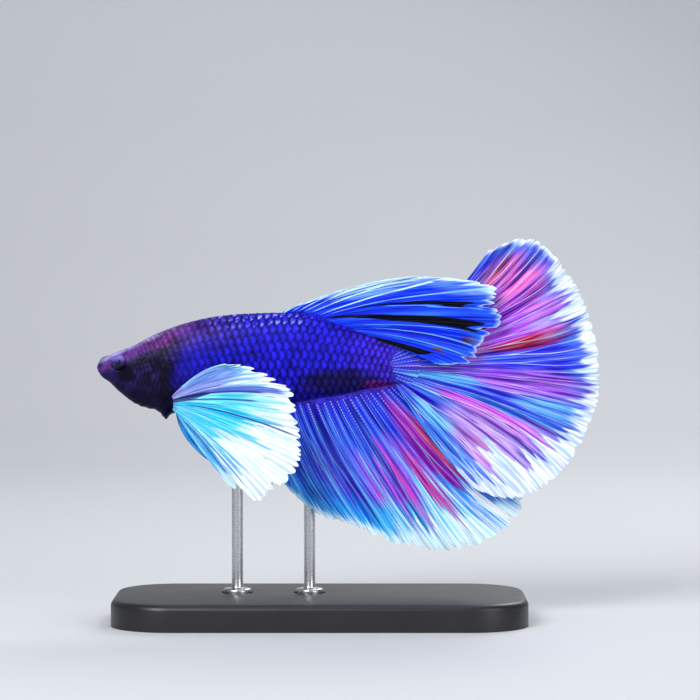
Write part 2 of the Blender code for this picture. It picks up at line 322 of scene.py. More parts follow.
bodyValues = {
    "stations": (
        (-33.30, 38.70, 37.50, 0.35),
        (-32.75, 39.62, 36.65, 0.95),
        (-31.50, 40.05, 35.75, 1.55),
        (-30.00, 40.65, 34.30, 2.05),
        (-27.50, 41.62, 32.50, 2.65),
        (-24.40, 43.20, 31.60, 3.15),
        (-20.25, 44.70, 31.20, 3.35),
        (-15.00, 45.80, 31.40, 3.30),
        (-9.00, 46.20, 32.20, 3.10),
        (-3.50, 46.05, 33.10, 2.75),
        (0.20, 45.10, 33.60, 2.45),
        (3.60, 44.15, 34.20, 2.15),
        (7.40, 42.90, 35.00, 1.65),
        (11.60, 41.20, 35.60, 1.05),
        (12.80, 41.20, 35.30, 0.72),
        (14.00, 41.60, 34.90, 0.42),
        (15.00, 41.80, 34.80, 0.26),
    ),
    "widest": 0.54,
    "fullness": 0.92,
    "flap": (-23.15, 0.75, 1.15),
    "rings": 260,
    "sides": 128,
    "coatDepth": 0.16,
    "coatBegins": (-24.0, -21.0),
    "headDepth": 0.05,
    "headEnds": (-20.2, -21.2),
    "endBulge": 0.16,
}


def bodySection(share, angles):
    # points of one cross-section, in mm, for a list of shares and a list of angles
    b = bodyValues
    x, back, belly, half = curveRow(b["stations"], share).T
    flapX, flapLength, flapDrop = b["flap"]
    belly = belly - flapDrop * hill(x - flapX, flapLength)
    level = belly + b["widest"] * (back - belly)
    across, up = np.cos(angles), np.sin(angles)
    y = np.sign(across) * np.abs(across) ** b["fullness"] * half[:, None]
    reach = np.where(up > 0, (back - level)[:, None], (level - belly)[:, None])
    z = level[:, None] + np.sign(up) * np.abs(up) ** b["fullness"] * reach
    return np.stack([np.broadcast_to(x[:, None], y.shape), y, z], axis=-1)


def shareAt(x):
    grid = np.linspace(0, 1, 2000)
    return np.interp(x, curveRow(bodyValues["stations"], grid)[:, 0], grid)


# the head's own relief, in mm: places are x and height

headValues = {
    "eye": (-30.08, 38.85),
    "eyeRadius": 1.22,
    "sides": (0.3, 1.0),  # distance from the middle plane where eye and nostril fade in
    "orbitRim": (0.12, 0.16, 0.08),  # gap to the eye, width, rise
    "eyePit": (0.05, -0.3, 0.42),  # outer and inner gap to the eye, depth
    "mouthFront": (-33.45, 38.12),
    "mouthCorner": (-32.25, 37.0),
    "mouthFade": (-32.1, -32.6),  # where slit and lips begin, at the corner
    "mouthSlit": (0.085, 0.2),  # width, depth
    "lips": (0.32, 0.22, 0.07),  # distance from the slit, width, rise
    "nostril": (-32.2, 38.85),
    "nostrilRim": (0.26, 0.09, 0.10),
    "nostrilPit": (0.22, 0.08, 0.16),
    "gillCentre": (-25.0, 36.7),
    "gillSize": (2.95, 4.7),
    "gillRise": 0.16,
    "gillFades": ((-0.004, 0.03), (0.9, 0.1), (-26.6, -23.8)),  # at its rim, within and in front
    "gillSlot": (-0.045, 0.028, 0.10),
    "slotTop": (40.2, 38.8),
    "cheek": (-24.6, 36.9, 3.6, 4.4),  # centre and half sizes
    "cheekLines": ((0.87, 0.06, 0.04), (0.78, 0.04, -0.06)),  # share of the size, width, rise
    "cheekFade": (-24.4, -26.2),
    "finFoot": (-21.9, 33.0),
    "membrane": (39.75, 0.35, 7.5, 0.05),  # height at x = 0, slope, folds and their rise
    "membraneFades": ((34.6, 33.0), (-29.5, -27.5), (-21.9, -22.9)),  # above, in front, behind
    # x, height, half sizes and rise of single bumps and hollows
    "brow": (-30.58, 40.60, 0.9, 0.5, 0.22),
    "bumps": (
        (-31.63, 39.45, 0.3, 0.7, -0.14),  # between eye and snout
        (-32.25, 37.0, 0.35, 0.35, -0.05),  # the mouth's corner
        (-21.9, 33.0, 0.55, 1.5, 0.5),  # fleshy foot that the pectoral fin grows from
    ),
}


def headBump(x, z, bump):
    bumpX, bumpZ, sizeX, sizeZ, rise = bump
    return rise * hill(x - bumpX, sizeX) * hill(z - bumpZ, sizeZ)


def headRelief(x, y, z):
    h = headValues
    toEye = np.hypot(x - h["eye"][0], z - h["eye"][1]) - h["eyeRadius"]
    toNose = np.hypot(x - h["nostril"][0], z - h["nostril"][1])
    gap, width, rise = h["orbitRim"]
    relief = headBump(x, z, h["brow"]) + rise * hill(toEye - gap, width)
    outer, inner, depth = h["eyePit"]
    relief -= depth * smooth(toEye, outer, inner)
    # nostril: a small pit with a raised rim
    gap, width, rise = h["nostrilRim"]
    relief += rise * hill(toNose - gap, width)
    outer, inner, depth = h["nostrilPit"]
    relief -= depth * smooth(toNose, outer, inner)
    # all of these lie on the sides only
    relief *= smooth(np.abs(y), *h["sides"])
    for bump in h["bumps"]:
        relief += headBump(x, z, bump)
    # lips with the mouth slit between them
    frontX, frontZ = h["mouthFront"]
    cornerX, cornerZ = h["mouthCorner"]
    slit = z - (frontZ + (cornerZ - frontZ) / (cornerX - frontX) * (x - frontX))
    near = smooth(x, *h["mouthFade"])
    gap, width, rise = h["lips"]
    relief += rise * hill(np.abs(slit) - gap, width) * near
    width, depth = h["mouthSlit"]
    relief -= depth * hill(slit, width) * near
    # gill cover: a plate whose hind edge stands proud, with a slot behind it
    gx, gz = h["gillCentre"]
    sx, sz = h["gillSize"]
    inside = 1 - np.hypot((x - gx) / sx, (z - gz) / sz)
    rim, within, front = h["gillFades"]
    hind = smooth(x, *front)
    relief += h["gillRise"] * smooth(inside, *rim) * hind * smooth(inside, *within)
    gap, width, depth = h["gillSlot"]
    relief -= depth * hill(inside - gap, width) * hind * smooth(z, *h["slotTop"])
    # the cheek plate in front of it: a groove with a low ridge round it
    cx, cz, rx, rz = h["cheek"]
    ring = np.hypot((x - cx) / rx, (z - cz) / rz)
    for at, width, rise in h["cheekLines"]:
        relief += rise * hill(ring - at, width) * smooth(x, *h["cheekFade"])
    # folds of the gill membrane under the jaw
    above, front, behind = h["membraneFades"]
    low = smooth(z, *above) * smooth(x, *front) * smooth(x, *behind)
    level, slope, folds, rise = h["membrane"]
    return relief + rise * low * np.sin((z - level - slope * x) * folds)


def bodyNormals(points):
    along = np.gradient(points, axis=0)
    around = np.roll(points, -1, axis=1) - np.roll(points, 1, axis=1)
    normal = np.cross(along, around)
    normal /= np.linalg.norm(normal, axis=-1, keepdims=True) + 1e-12
    # away from the middle of each section
    out = points - points.mean(axis=1, keepdims=True)
    flip = np.sign((normal * out).sum(axis=-1, keepdims=True))
    return normal * np.where(flip == 0, 1, flip)


def skinPoints():
    b = bodyValues
    share = np.linspace(0, 1, b["rings"])
    points = bodySection(share, np.linspace(0, 2 * np.pi, b["sides"], endpoint=False))
    x, y, z = np.moveaxis(points, -1, 0)
    sunk = b["headDepth"] + (b["coatDepth"] - b["headDepth"]) * smooth(x, *b["coatBegins"])
    # less relief where the section closes at the snout
    tip = smooth(share, 0.0, 0.012)[:, None]
    shift = (headRelief(x, y, z) * smooth(x, *b["headEnds"]) * tip
             - sunk * smooth(share, 0.0, 0.02)[:, None])
    return points + bodyNormals(points) * shift[..., None]


def makeSkin(material):
    # a sphere lying along the body, each of its rings laid on one cross-section
    rows, sides = bodyValues["rings"] + 1, bodyValues["sides"]
    deselect()
    bpy.ops.mesh.primitive_uv_sphere_add(segments=sides, ring_count=rows, radius=1.0)
    skin = takeNew("skin")
    co = getPoints(skin)
    ring = np.rint(np.arccos(np.clip(co[:, 2], -1, 1)) / np.pi * rows).astype(int)
    turn = np.rint(np.arctan2(co[:, 1], co[:, 0]) / (2 * np.pi) * sides).astype(int) % sides
    grid = skinPoints()
    points = grid[np.clip(ring - 1, 0, rows - 2), turn]
    bulge = bodyValues["endBulge"]
    for end, row, out in ((0, grid[0], -bulge), (rows, grid[-1], bulge)):
        points[ring == end] = row.mean(axis=0) + (out, 0, 0)
    setPoints(skin, points)
    outside(skin)
    smoothShade(skin)
    flesh = ("head", "lower_jaw", "gill_cover_left", "gill_cover_right", "trunk", "tail_stalk")
    return settle(skin, flesh, material)


# scales: one plate is shaped, then laid in rows from head to tail on both sides

scaleValues = {
    "rows": range(-9, 10),
    "rowSpacing": 1.24,
    "rowSlant": 0.06,
    "pitch": 1.04,
    "length": 1.68,
    "height": 1.76,
    "thickness": 0.05,
    "lift": 0.15,
    "sink": 0.125,
    "hidden": 0.45,
    "bulge": 0.06,
    "from": -27.8,
    "to": 14.4,
    "tailEnd": 10.4,
    "tailCurve": 0.16,
    "tailRagged": (-0.5, 0.7),
    "crestFrom": 41,
    "patch": 0.003,
    "sizes": ((-30.0, 0.50), (-26.0, 0.60), (-22.0, 0.82), (-18.0, 1.0), (-6.0, 1.10),
              (4.0, 1.02), (11.0, 0.74), (14.6, 0.48)),
    # bare places: round the eye, along the gill slot, round the fin's foot and under the jaw
    "eyeGap": 2.2,
    "slotGap": (1.02, 0.09, 39.5),
    "footGap": (1.0, 2.1),
    "jaw": (-22.2, 33.6, 0.4),
    # over the fins: step along the fin and between the rows
    "sheathSteps": (1.25, 0.62),
    "sheathRise": 0.25,
}


def shapePlate():
    # a grid drawn into a round-ended plate, given thickness; x runs root to edge, y across
    s = scaleValues
    plate = addGrid("plate", 6, 6)
    points = getPoints(plate)
    p, q = points[:, 0] + 0.5, points[:, 1] * 2
    # blunt root, wide middle, round edge
    edge = p - 0.30 * np.abs(q) ** 2.2 * smooth(p, 0.2, 1.0)
    halfHeight = 0.5 * (0.72 + 0.28 * np.sin(np.pi * np.clip(p * 0.9, 0, 1)))
    z = s["bulge"] * (1 - q**2) * np.sin(np.pi * np.clip(p, 0, 1))
    setPoints(plate, np.stack([edge * s["length"], q * halfHeight * s["height"], z], axis=1), 1)
    solid = plate.modifiers.new("thickness", "SOLIDIFY")
    solid.thickness = s["thickness"]
    solid.offset = -1.0
    applyModifiers(plate)
    return plate


def bodyLine(x, side, reach):
    # on the flank at x, a distance up from mid-level: the point, the directions outwards,
    # towards the tail and upwards, and the share of the way from belly to back
    steps, step = 90, 0.05
    angles = np.linspace(-np.pi / 2, np.pi / 2, 2 * steps + 1)
    before, ring, after = bodySection(shareAt(np.array([x - step, x, x + step])), angles)
    length = np.concatenate([[0], np.cumsum(np.linalg.norm(np.diff(ring, axis=0), axis=1))])
    length -= length[steps]
    if not length[0] - 0.2 < reach < length[-1] + 0.2:
        return None

    def at(row, place):
        return np.array([np.interp(place, length, row[:, k]) for k in range(3)])

    point = at(ring, reach)
    up = at(ring, reach + 0.1) - at(ring, reach - 0.1)
    along = unit(at(after, reach) - at(before, reach))
    up = unit(up - along * (up @ along))
    normal = np.cross(up, along)
    normal *= np.sign(normal[1])
    flip = np.array([1, side, 1])
    around = (reach - length[0]) / (length[-1] - length[0])
    return point * flip, normal * flip, along * flip, up * flip, around


def curvature(x, z):
    # how sharply the flank bends there, 1/mm: strongest along back and belly
    back, belly, half = curveRow(bodyValues["stations"], shareAt(x))[0][1:]
    tall = (back - belly) / 2
    high = min(abs(z - (back + belly) / 2) / tall, 1.0)
    flat = half / tall**2
    return flat + (1 / (half + 0.4) - flat) * high**6


def scaleSpots(side, rng):
    # root places of all plates on one side of the body
    s = scaleValues
    sizeX, sizeF = zip(*s["sizes"])
    eyeX, eyeZ = headValues["eye"]
    gx, gz = headValues["gillCentre"]
    sx, sz = headValues["gillSize"]
    footX, footZ = headValues["finFoot"]
    slotAt, slotGap, slotTop = s["slotGap"]
    jawX, jawZ, jawSlope = s["jaw"]
    spots = []
    for row in s["rows"]:
        at = s["from"] + s["rowSlant"] * abs(row)
        if row % 2:
            at += 0.5 * s["pitch"] * np.interp(at, sizeX, sizeF)
        while at < s["to"]:
            factor = float(np.interp(at, sizeX, sizeF))
            found = bodyLine(at, side, row * s["rowSpacing"] * factor)
            at += s["pitch"] * factor
            if found is None:
                continue
            point, normal, along, up, around = found
            x, y, z = point
            slot = abs(math.hypot((x - gx) / sx, (z - gz) / sz) - slotAt)
            toFoot = math.hypot((x - footX) / s["footGap"][0], (z - footZ) / s["footGap"][1])
            if (math.hypot(x - eyeX, z - eyeZ) < s["eyeGap"] or toFoot < 1
                    or (slot < slotGap and x > gx and z < slotTop)):
                continue
            lastX = s["tailEnd"] + s["tailCurve"] * (z - tailFan["centre"][1]) ** 2
            underJaw = x < jawX and z < jawZ - jawSlope * (x - jawX)
            if x > lastX + rng.uniform(*s["tailRagged"]) or underJaw:
                continue
            # the head's relief lifts a plate, less so near the back
            relief = headRelief(x, y, z) * smooth(x, *bodyValues["headEnds"])
            root = point + normal * relief * (0.75 if z < s["crestFrom"] else 0.4)
            bake = (0.02 + 0.96 * shareAt(x), 0.02 + 0.38 * (1 + side * around))
            spots.append((root, normal, along, up, factor, curvature(x, z), bake))
    return spots


def sheathSpots(rays, fin, side, start, length, sizes, band, rng):
    # small plates that carry the body's scales out over a fin's foot, smaller row by row
    stepAlong, stepOut = scaleValues["sheathSteps"]
    middleRay = np.array(rays[len(rays) // 2])
    reach = 2 * np.linalg.norm(middleRay[1] - middleRay[0])
    spots = []
    far, row = start, 0
    while far < length:
        factor = float(np.interp(far, (start, length), sizes))
        v = far / reach
        u = 0.006 + 0.01 * (row % 2)
        while u < 0.994:
            # the place itself, then a little to each side of it
            near = np.array([u, u, u, u - 0.003, u + 0.003])
            out = np.array([v, v - 0.004, v + 0.004, v, v])
            point, before, after, low, high = finSurface(rays, fin, near, out)
            along = unit(after - before)
            wide = np.linalg.norm(high - low)
            up = (low - high) / wide
            up = unit(up - along * (up @ along))
            normal = np.cross(up, along)
            normal *= side * np.sign(normal[1])
            # fewer of them towards the last row
            if rng.uniform() > 1.8 * (far / length - 0.5):
                bake = (0.02 + 0.96 * u, band + 0.03 * v)
                spots.append((point + normal * scaleValues["sheathRise"], normal, along, up,
                              factor, 0.0, bake))
            u += stepAlong * factor * 0.006 / wide
        far += stepOut * factor
        row += 1
    return spots


def makeScales(name, spots, nodes, material, plate, rng):
    s = scaleValues
    local = getPoints(plate)
    faces = [list(f.vertices) for f in plate.data.polygons]
    plateUv = np.array([d.uv for d in plate.data.uv_layers[0].data])
    points, allFaces, bakeUv = [], [], []
    for point, normal, along, up, factor, bend, bake in spots:
        luck = rng.uniform(-1, 1, 2)
        x = local[:, 0] * factor
        y = local[:, 1] * factor * (1 + 0.03 * luck[0])
        # flatter on the head, and every plate a little different
        lift = s["lift"] * (0.55 + 0.45 * factor) * (1 + 0.15 * luck[1]) * local[:, 0] / s["length"]
        # the plate wraps round the flank by its own height
        height = local[:, 2] * factor - s["sink"] + lift - y**2 * bend / 2
        root = point - along * s["hidden"] * s["length"] * factor
        start = len(points) * len(local)
        points.append(root + along * x[:, None] + up * y[:, None] + normal * height[:, None])
        allFaces += [[start + v for v in face] for face in faces]
        bakeUv.append(np.array(bake) + (plateUv - 0.5) * s["patch"])
    obj = fromLists(name, (np.concatenate(points) * mm).tolist(), [], allFaces)
    for label, values in (("OFBake", bakeUv), ("plateShape", [plateUv] * len(spots))):
        layer = obj.data.uv_layers.new(name=label)
        layer.data.foreach_set("uv", np.concatenate(values).ravel())
    outside(obj)
    smoothShade(obj, 50)
    print("scales", name, len(spots), "plates")
    return settle(obj, nodes, material)


# colours of skin and scales, one group for both

bodyColours = {
    "flank": (30, 26, 200),
    "flankDeep": (24, 16, 140),
    "stalk": (58, 34, 182),
    "nape": (58, 34, 128),
    "crown": (98, 54, 136),
    "plum": (104, 42, 104),
    "snout": (40, 31, 84),
    "face": (11, 6, 36),
    "faceSheen": (50, 36, 106),
    "jaw": (30, 24, 84),
    "gillShade": (6, 3, 17),
    "sheath": (62, 46, 206),
    "dark": (18, 10, 66),
    "lilacHighlight": (184, 182, 250),
    "crestLight": (150, 156, 250),
    "magenta": (112, 22, 122),
}
# oval patches: centre and half sizes in mm, strength, colour
bodyPatches = {
    "flank": (((3.2, 35.9), (9.0, 2.8), 0.92, "dark"), ((-16.5, 40.8), (3.6, 1.5), 0.35, "dark"),
              ((-21.5, 37.5), (3.4, 6.5), 0.45, "dark"), ((-4.0, 33.9), (6.0, 1.6), 0.5, "dark")),
    "sheath": (((8.8, 35.4), (3.4, 0.9), 0.55, "magenta"),),
    "gill": (((-22.9, 35.6), (1.3, 4.6), 0.8, "gillShade"),),
    # navy lower jaw, then painted shade in the cheek's hollow and behind the gill cover
    "jaw": (((-31.8, 36.6), (2.4, 1.9), 0.7, "jaw"), ((-28.9, 37.2), (2.3, 1.5), 0.85, "gillShade"),
            ((-22.0, 32.8), (2.4, 2.8), 0.9, "gillShade")),
    "crown": (((-24.2, 42.3), (3.2, 1.9), 0.5, "plum"),),
    "snout": (((-33.2, 39.2), (1.2, 1.5), 0.9, "snout"),),
    # painted lilac highlights on the brow bump and on the nostril's rim
    "brow": (((-30.9, 40.15), (0.9, 0.4), 0.4, "lilacHighlight"),
             ((-32.25, 38.9), (0.4, 0.5), 0.1, "lilacHighlight")),
}
# where each marking fades in: from, to, and the shares at either end if not 0 and 1
bodyFades = {
    "mottle": (0.35, 0.7), "stalk": (1.0, 10.0, 0.0, 0.75), "belly": (34.2, 32.0),
    "nape": (-8.0, -19.0), "napeDepth": (6.0, 2.0),
    "sheathBelow": (0.3, -0.5), "sheathBehind": (9.5, 13.0), "sheathFrom": (-16.0, -13.0),
    "sheen": (0.44, 0.68, 0.0, 0.7), "sheenHeight": (34.0, 37.0, 0.45, 1.0), "face": (-24.0, -26.8),
    "crown": (-17.5, -21.5), "crownDepth": (2.4, 1.0),
    "rim": (-18.0, -24.0), "rimDepth": (0.6, 0.0), "rimBroken": (0.38, 0.62, 0.1, 0.6),
    "grain": (0.46, 0.66), "grainFrom": (-20.0, -23.0, 0.0, 0.5), "soft": (-13.0, -20.5),
    "crestFrom": (-19.0, -14.0), "crestTo": (1.0, -5.0), "crestDepth": (2.8, 0.6),
}
# the back and belly lines as straight runs: slope, and height at x = 0
bodyRuns = {"nose": (0.46, 54.2), "rear": (-0.38, 45.7), "top": 46.1, "belly": (0.19, 33.6)}


def makeBodyGroup():
    c, f, runs = bodyColours, bodyFades, bodyRuns
    given, end = newGroup("bodyMarkings", [("Position", "Vector", None)],
                          [("Color", "Color"), ("Soft", "Float"), ("Crest", "Float")])
    position = given["Position"]

    def layPatches(color, name, x, z):
        for centre, size, strength, paint in bodyPatches[name]:
            color = lay(color, c[paint], blob(x, z, centre, size), strength)
        return color

    place = splitXyz(position)
    x, z = times(place[0], 1000), times(place[2], 1000)
    # height of the back line, from three straight runs, and the depth under it
    back = calc("MINIMUM", scaled(x, *runs["nose"]), scaled(x, *runs["rear"]))
    under = minus(calc("MINIMUM", back, runs["top"]), z)
    cloud = noise(position, 420, 3)
    ragged = scaled(cloud, 2.4, -1.2)
    xr, zr, underR = (plus(value, ragged) for value in (x, z, under))

    color = lay(c["flank"], c["flankDeep"], fade(cloud, *f["mottle"]), 0.5)
    color = lay(color, c["stalk"], fade(xr, *f["stalk"]))
    color = lay(color, c["dark"], fade(minus(zr, times(x, 0.1)), *f["belly"]))
    color = lay(color, c["nape"], fade(xr, *f["nape"]), fade(underR, *f["napeDepth"]))
    color = layPatches(color, "flank", xr, zr)
    # brighter again where the scales run out over the fins
    below = fade(minus(z, scaled(x, *runs["belly"])), *f["sheathBelow"])
    sheath = calc("MAXIMUM", below, fade(x, *f["sheathBehind"]))
    sheath = times(sheath, fade(x, *f["sheathFrom"]))
    color = lay(color, c["sheath"], sheath, 0.85)
    color = layPatches(color, "sheath", xr, zr)
    # dark face with a leaning hind border and a faint painted sheen, with painted shade darkest along
    # the gill opening
    sheen = fade(noise(position, 380, 5, 0.62), *f["sheen"])
    face = lay(c["face"], c["faceSheen"], sheen, fade(z, *f["sheenHeight"]))
    face = layPatches(face, "gill", xr, zr)
    color = lay(color, face, fade(scaled(z, -0.10, xr), *f["face"]))
    # navy lower jaw, then painted shade in the cheek's hollow and behind the gill cover
    color = layPatches(color, "jaw", xr, zr)
    # crown and snout
    color = lay(color, c["crown"], fade(underR, *f["crownDepth"]), fade(x, *f["crown"]))
    color = layPatches(color, "crown", xr, zr)
    color = layPatches(color, "snout", x, zr)
    # painted highlight: a broken pale lilac rim along the top edge of the head, where light grazes it
    color = lay(color, c["lilacHighlight"], fade(under, *f["rimDepth"]), fade(x, *f["rim"]),
                fade(cloud, *f["rimBroken"]))
    # head skin is mottled all over, with painted lilac highlights on the brow bump and round the
    # nostril
    grain = noise(position, 1500, 4, 0.65)
    color = lay(color, c["face"], fade(grain, *f["grain"]), fade(x, *f["grainFrom"]))
    color = layPatches(color, "brow", x, z)
    # where the painted highlight falls on the scales along the crest of the back
    crest = times(fade(xr, *f["crestFrom"]), fade(xr, *f["crestTo"]), fade(under, *f["crestDepth"]))
    soft = calc("MAXIMUM", sheath, fade(x, *f["soft"]))
    feed(end, {"Color": color, "Crest": crest, "Soft": soft})


def addRayFeet(place, color):
    # over the stalk's end the skin carries the feet of the tail's rays
    s, t = scaleValues, tailFan
    spot = splitXyz(place)
    x = times(spot[0], 1000)
    up = scaled(spot[2], 1000, -t["centre"][1])
    along = minus(x, t["centre"][0] + t["rootBack"])
    first, last = t["tips"][0][0], t["tips"][-1][0]
    opening = scaled(along, t["footSpread"], t["rootHeight"] / -last)
    uv = joinXyz(over(minus(first, over(up, opening)), first - last), over(along, t["reach"]))
    rays = useRays(uv, tailFin, tailLook)
    web = paintFin(rays, uv, tailLook)
    ragged = scaled(noise(place, 900, 2), 2.4, -1.2)
    edge = plus(plus(x, times(times(up, up), -s["tailCurve"])), ragged)
    begins = fade(edge, s["tailEnd"] - 0.6, s["tailEnd"] + 1.0)
    return mixColor(begins, color, web), times(rays["Line"], begins)


def makeSkinMaterial():
    material, shader = newMaterial("bettaSkin")
    place = objectPlace(shader)
    marks = useGroup("bodyMarkings", {"Position": place})
    fine, pores = noise(place, 5200, 3), noise(place, 1500, 2)
    color = mixColor(1.0, marks["Color"], scaled(fine, 0.5, 0.72), "MULTIPLY")
    color, rayLines = addRayFeet(place, color)
    feed(shader, {"Base Color": color, "Roughness": fade(fine, 0.3, 0.7, 0.34, 0.5),
                  "Specular IOR Level": 0.06, "Coat Weight": 0.02, "Coat Roughness": 0.25})
    addBump(shader, plus(plus(fine, times(pores, 0.8)), times(rayLines, 1.5)), 0.5, 0.00005)
    return material


scaleLook = {
    # the bright middle is partly the plate's own paler centre and partly painted highlight, and the
    # dark rim partly its own dark edge and partly painted shade where the plates overlap
    "middle": (0.68, 0.26, 0.92),  # bright middle along the plate, its half length, share across
    "light": (1.75, 1.9, 1.6, 1.0),
    "rim": (0.30, 0.24, 0.42, 1.0),
    "growthRings": 26.0,
}


def makeScaleMaterial():
    material, shader = newMaterial("bettaScales")
    place = objectPlace(shader)
    marks = useGroup("bodyMarkings", {"Position": place})
    plain, soft = marks["Color"], marks["Soft"]
    along, across = splitXyz(readUv(shader, "plateShape"))[:2]
    # distance from the bright middle of the part that shows
    middle, half, share = scaleLook["middle"]
    side = times(calc("ABSOLUTE", scaled(across, 2.0, -1.0)), share)
    far = calc("SQRT", squares(over(minus(along, middle), half), side))
    # painted highlight over the plate's own paler centre, brightest in the middle
    bright = times(fade(far, 0.85, 0.15), scaled(soft, -0.35, 0.75))
    color = mixColor(bright, plain, scaleLook["light"], "MULTIPLY")
    # dark rim: the plate's own dark edge with painted shade where the next plates overlap
    rim = mixColor(1.0, plain, scaleLook["rim"], "MULTIPLY")
    color = lay(color, rim, fade(far, 0.64, 1.0), scaled(soft, -0.45, 0.9))
    tone = fade(noise(place, 800, 2), 0.3, 0.7, 0.62, 1.3)
    color = mixColor(1.0, color, tone, "MULTIPLY")
    # along the crest each plate catches light in a smear towards its upper edge
    smear = times(fade(far, 1.0, 0.55), fade(across, 0.66, 0.30), fade(along, 0.40, 0.62),
                  fade(noise(place, 1300, 2), 0.40, 0.62))
    color = lay(color, bodyColours["crestLight"], marks["Crest"], smear)
    feed(shader, {"Base Color": color, "Roughness": fade(far, 0.2, 1.0, 0.30, 0.5),
                  "Specular IOR Level": 0.08, "Coat Weight": 0.02, "Coat Roughness": 0.3})
    addBump(shader, calc("SINE", times(far, scaleLook["growthRings"])), 0.18, 0.00002)
    return material


# eyes

eyeValues = {
    "x": -30.08, "y": 1.22, "z": 38.85, "radius": 1.22, "pupil": 0.42, "iris": 0.95, "front": 0.07,
    "irisColours": ((38, 32, 92), (60, 52, 122)),
    "arc": (110, 100, 182),
    "shadow": (8, 6, 22),
    "pupilColour": (12, 9, 36),
}


def makeEyeMaterial():
    e = eyeValues
    material, shader = newMaterial("wetEye")
    place = objectPlace(shader)
    inputs = {"Vector": place, "Location": (-e["x"], 0.0, -e["z"]), "Scale": (1000, 1000, 1000)}
    local = addNode("ShaderNodeMapping", inputs).outputs[0]
    x, _, z = splitXyz(local)
    far = calc("SQRT", squares(x, z))
    color = lay(*e["irisColours"], fade(noise(local, 7.0, 3), 0.35, 0.7))
    # painted highlight as a pale arc over the top where light falls, painted shadow in the lower half
    color = lay(color, e["arc"], fade(z, 0.0, 0.7), fade(far, 0.35, 0.75))
    color = lay(color, e["shadow"], fade(z, -0.05, -0.6, 0.0, 0.92))
    color = lay(color, e["pupilColour"], fade(far, e["pupil"] + 0.08, e["pupil"] - 0.06), 0.8)
    feed(shader, {"Base Color": color, "Roughness": 0.3, "Specular IOR Level": 0.15,
                  "Coat Weight": 0.08, "Coat Roughness": 0.1})
    return material


def makeEye(name, node, side, material):
    e = eyeValues
    deselect()
    bpy.ops.mesh.primitive_uv_sphere_add(segments=48, ring_count=32, radius=e["radius"] * mm,
                                         location=(e["x"] * mm, side * e["y"] * mm, e["z"] * mm),
                                         rotation=(math.pi / 2, 0, 0))
    eye = takeNew(name)
    applyPlace(eye)
    # a flat iris with the clear front bulging a little over it
    for vertex in eye.data.vertices:
        out = side * vertex.co.y / mm - e["y"]
        near = math.hypot(vertex.co.x / mm - e["x"], vertex.co.z / mm - e["z"])
        if out > 0 and near < e["iris"]:
            vertex.co.y += side * e["front"] * math.cos(near / e["iris"] * math.pi / 2) * mm
    smoothShade(eye)
    return settle(eye, (node,), material)


# fins: a row is one ray's root, the point that bends it and its tip, x, y and height in mm

dorsalRays = (
    ((-6.6, 0.0, 45.6), (-5.8, 0.0, 46.3), (-4.6, 0.0, 47.0)),
    ((-6.2, 0.0, 45.7), (-3.2, 0.0, 47.6), (1.2, -0.1, 48.9)),
    ((-5.6, 0.0, 45.7), (-0.4, -0.1, 49.0), (7.0, -0.2, 50.6)),
    ((-4.8, 0.0, 45.7), (3.4, -0.2, 50.1), (13.6, -0.4, 51.7)),
    ((-3.9, 0.0, 45.7), (6.8, -0.3, 50.6), (20.0, -0.8, 51.4)),
    ((-2.9, 0.0, 45.6), (9.4, -0.3, 50.3), (25.8, -1.5, 50.5)),
    ((-1.8, 0.0, 45.3), (11.0, -0.4, 49.3), (26.8, -1.9, 49.2)),
    ((-0.7, 0.0, 44.9), (12.0, -0.6, 47.9), (26.9, -2.2, 47.2)),
    ((0.4, 0.0, 44.6), (12.8, -0.8, 46.4), (27.6, -2.3, 45.1)),
    ((1.6, 0.0, 44.3), (13.2, -1.0, 45.0), (25.4, -2.3, 43.1)),
    ((2.8, 0.0, 43.9), (13.4, -1.1, 43.6), (23.6, -2.2, 41.0)),
    ((3.9, 0.0, 43.6), (13.6, -1.2, 42.2), (22.4, -2.1, 38.9)),
    ((5.0, 0.0, 43.2), (11.8, -1.1, 41.4), (17.6, -1.7, 38.5)),
)
analRays = (
    ((-13.5, 0.0, 32.2), (-11.2, 0.0, 26.4), (-6.4, 0.0, 22.6)),
    ((-10.6, 0.0, 32.6), (-8.6, 0.0, 25.2), (-4.3, 0.0, 19.4)),
    ((-7.8, 0.0, 33.0), (-5.2, 0.0, 24.2), (0.2, 0.0, 15.8)),
    ((-4.9, 0.0, 33.5), (-1.7, 0.1, 23.4), (4.8, 0.0, 14.6)),
    ((-2.1, 0.0, 33.9), (1.8, 0.2, 22.6), (9.6, 0.1, 12.2)),
    ((0.7, 0.0, 34.3), (5.8, 0.2, 22.0), (14.6, 0.2, 10.9)),
    ((3.4, 0.0, 34.8), (9.8, 0.3, 22.2), (19.4, 0.3, 10.1)),
    ((6.0, 0.0, 35.3), (13.8, 0.4, 23.2), (24.4, 0.4, 11.4)),
    ((8.2, 0.0, 35.8), (17.2, 0.7, 25.0), (28.6, 0.5, 14.8)),
    ((10.0, 0.0, 36.2), (19.6, 1.1, 27.2), (30.7, 0.7, 18.6)),
    ((11.2, 0.0, 36.4), (19.0, 2.0, 30.0), (28.0, 1.2, 22.6)),
)
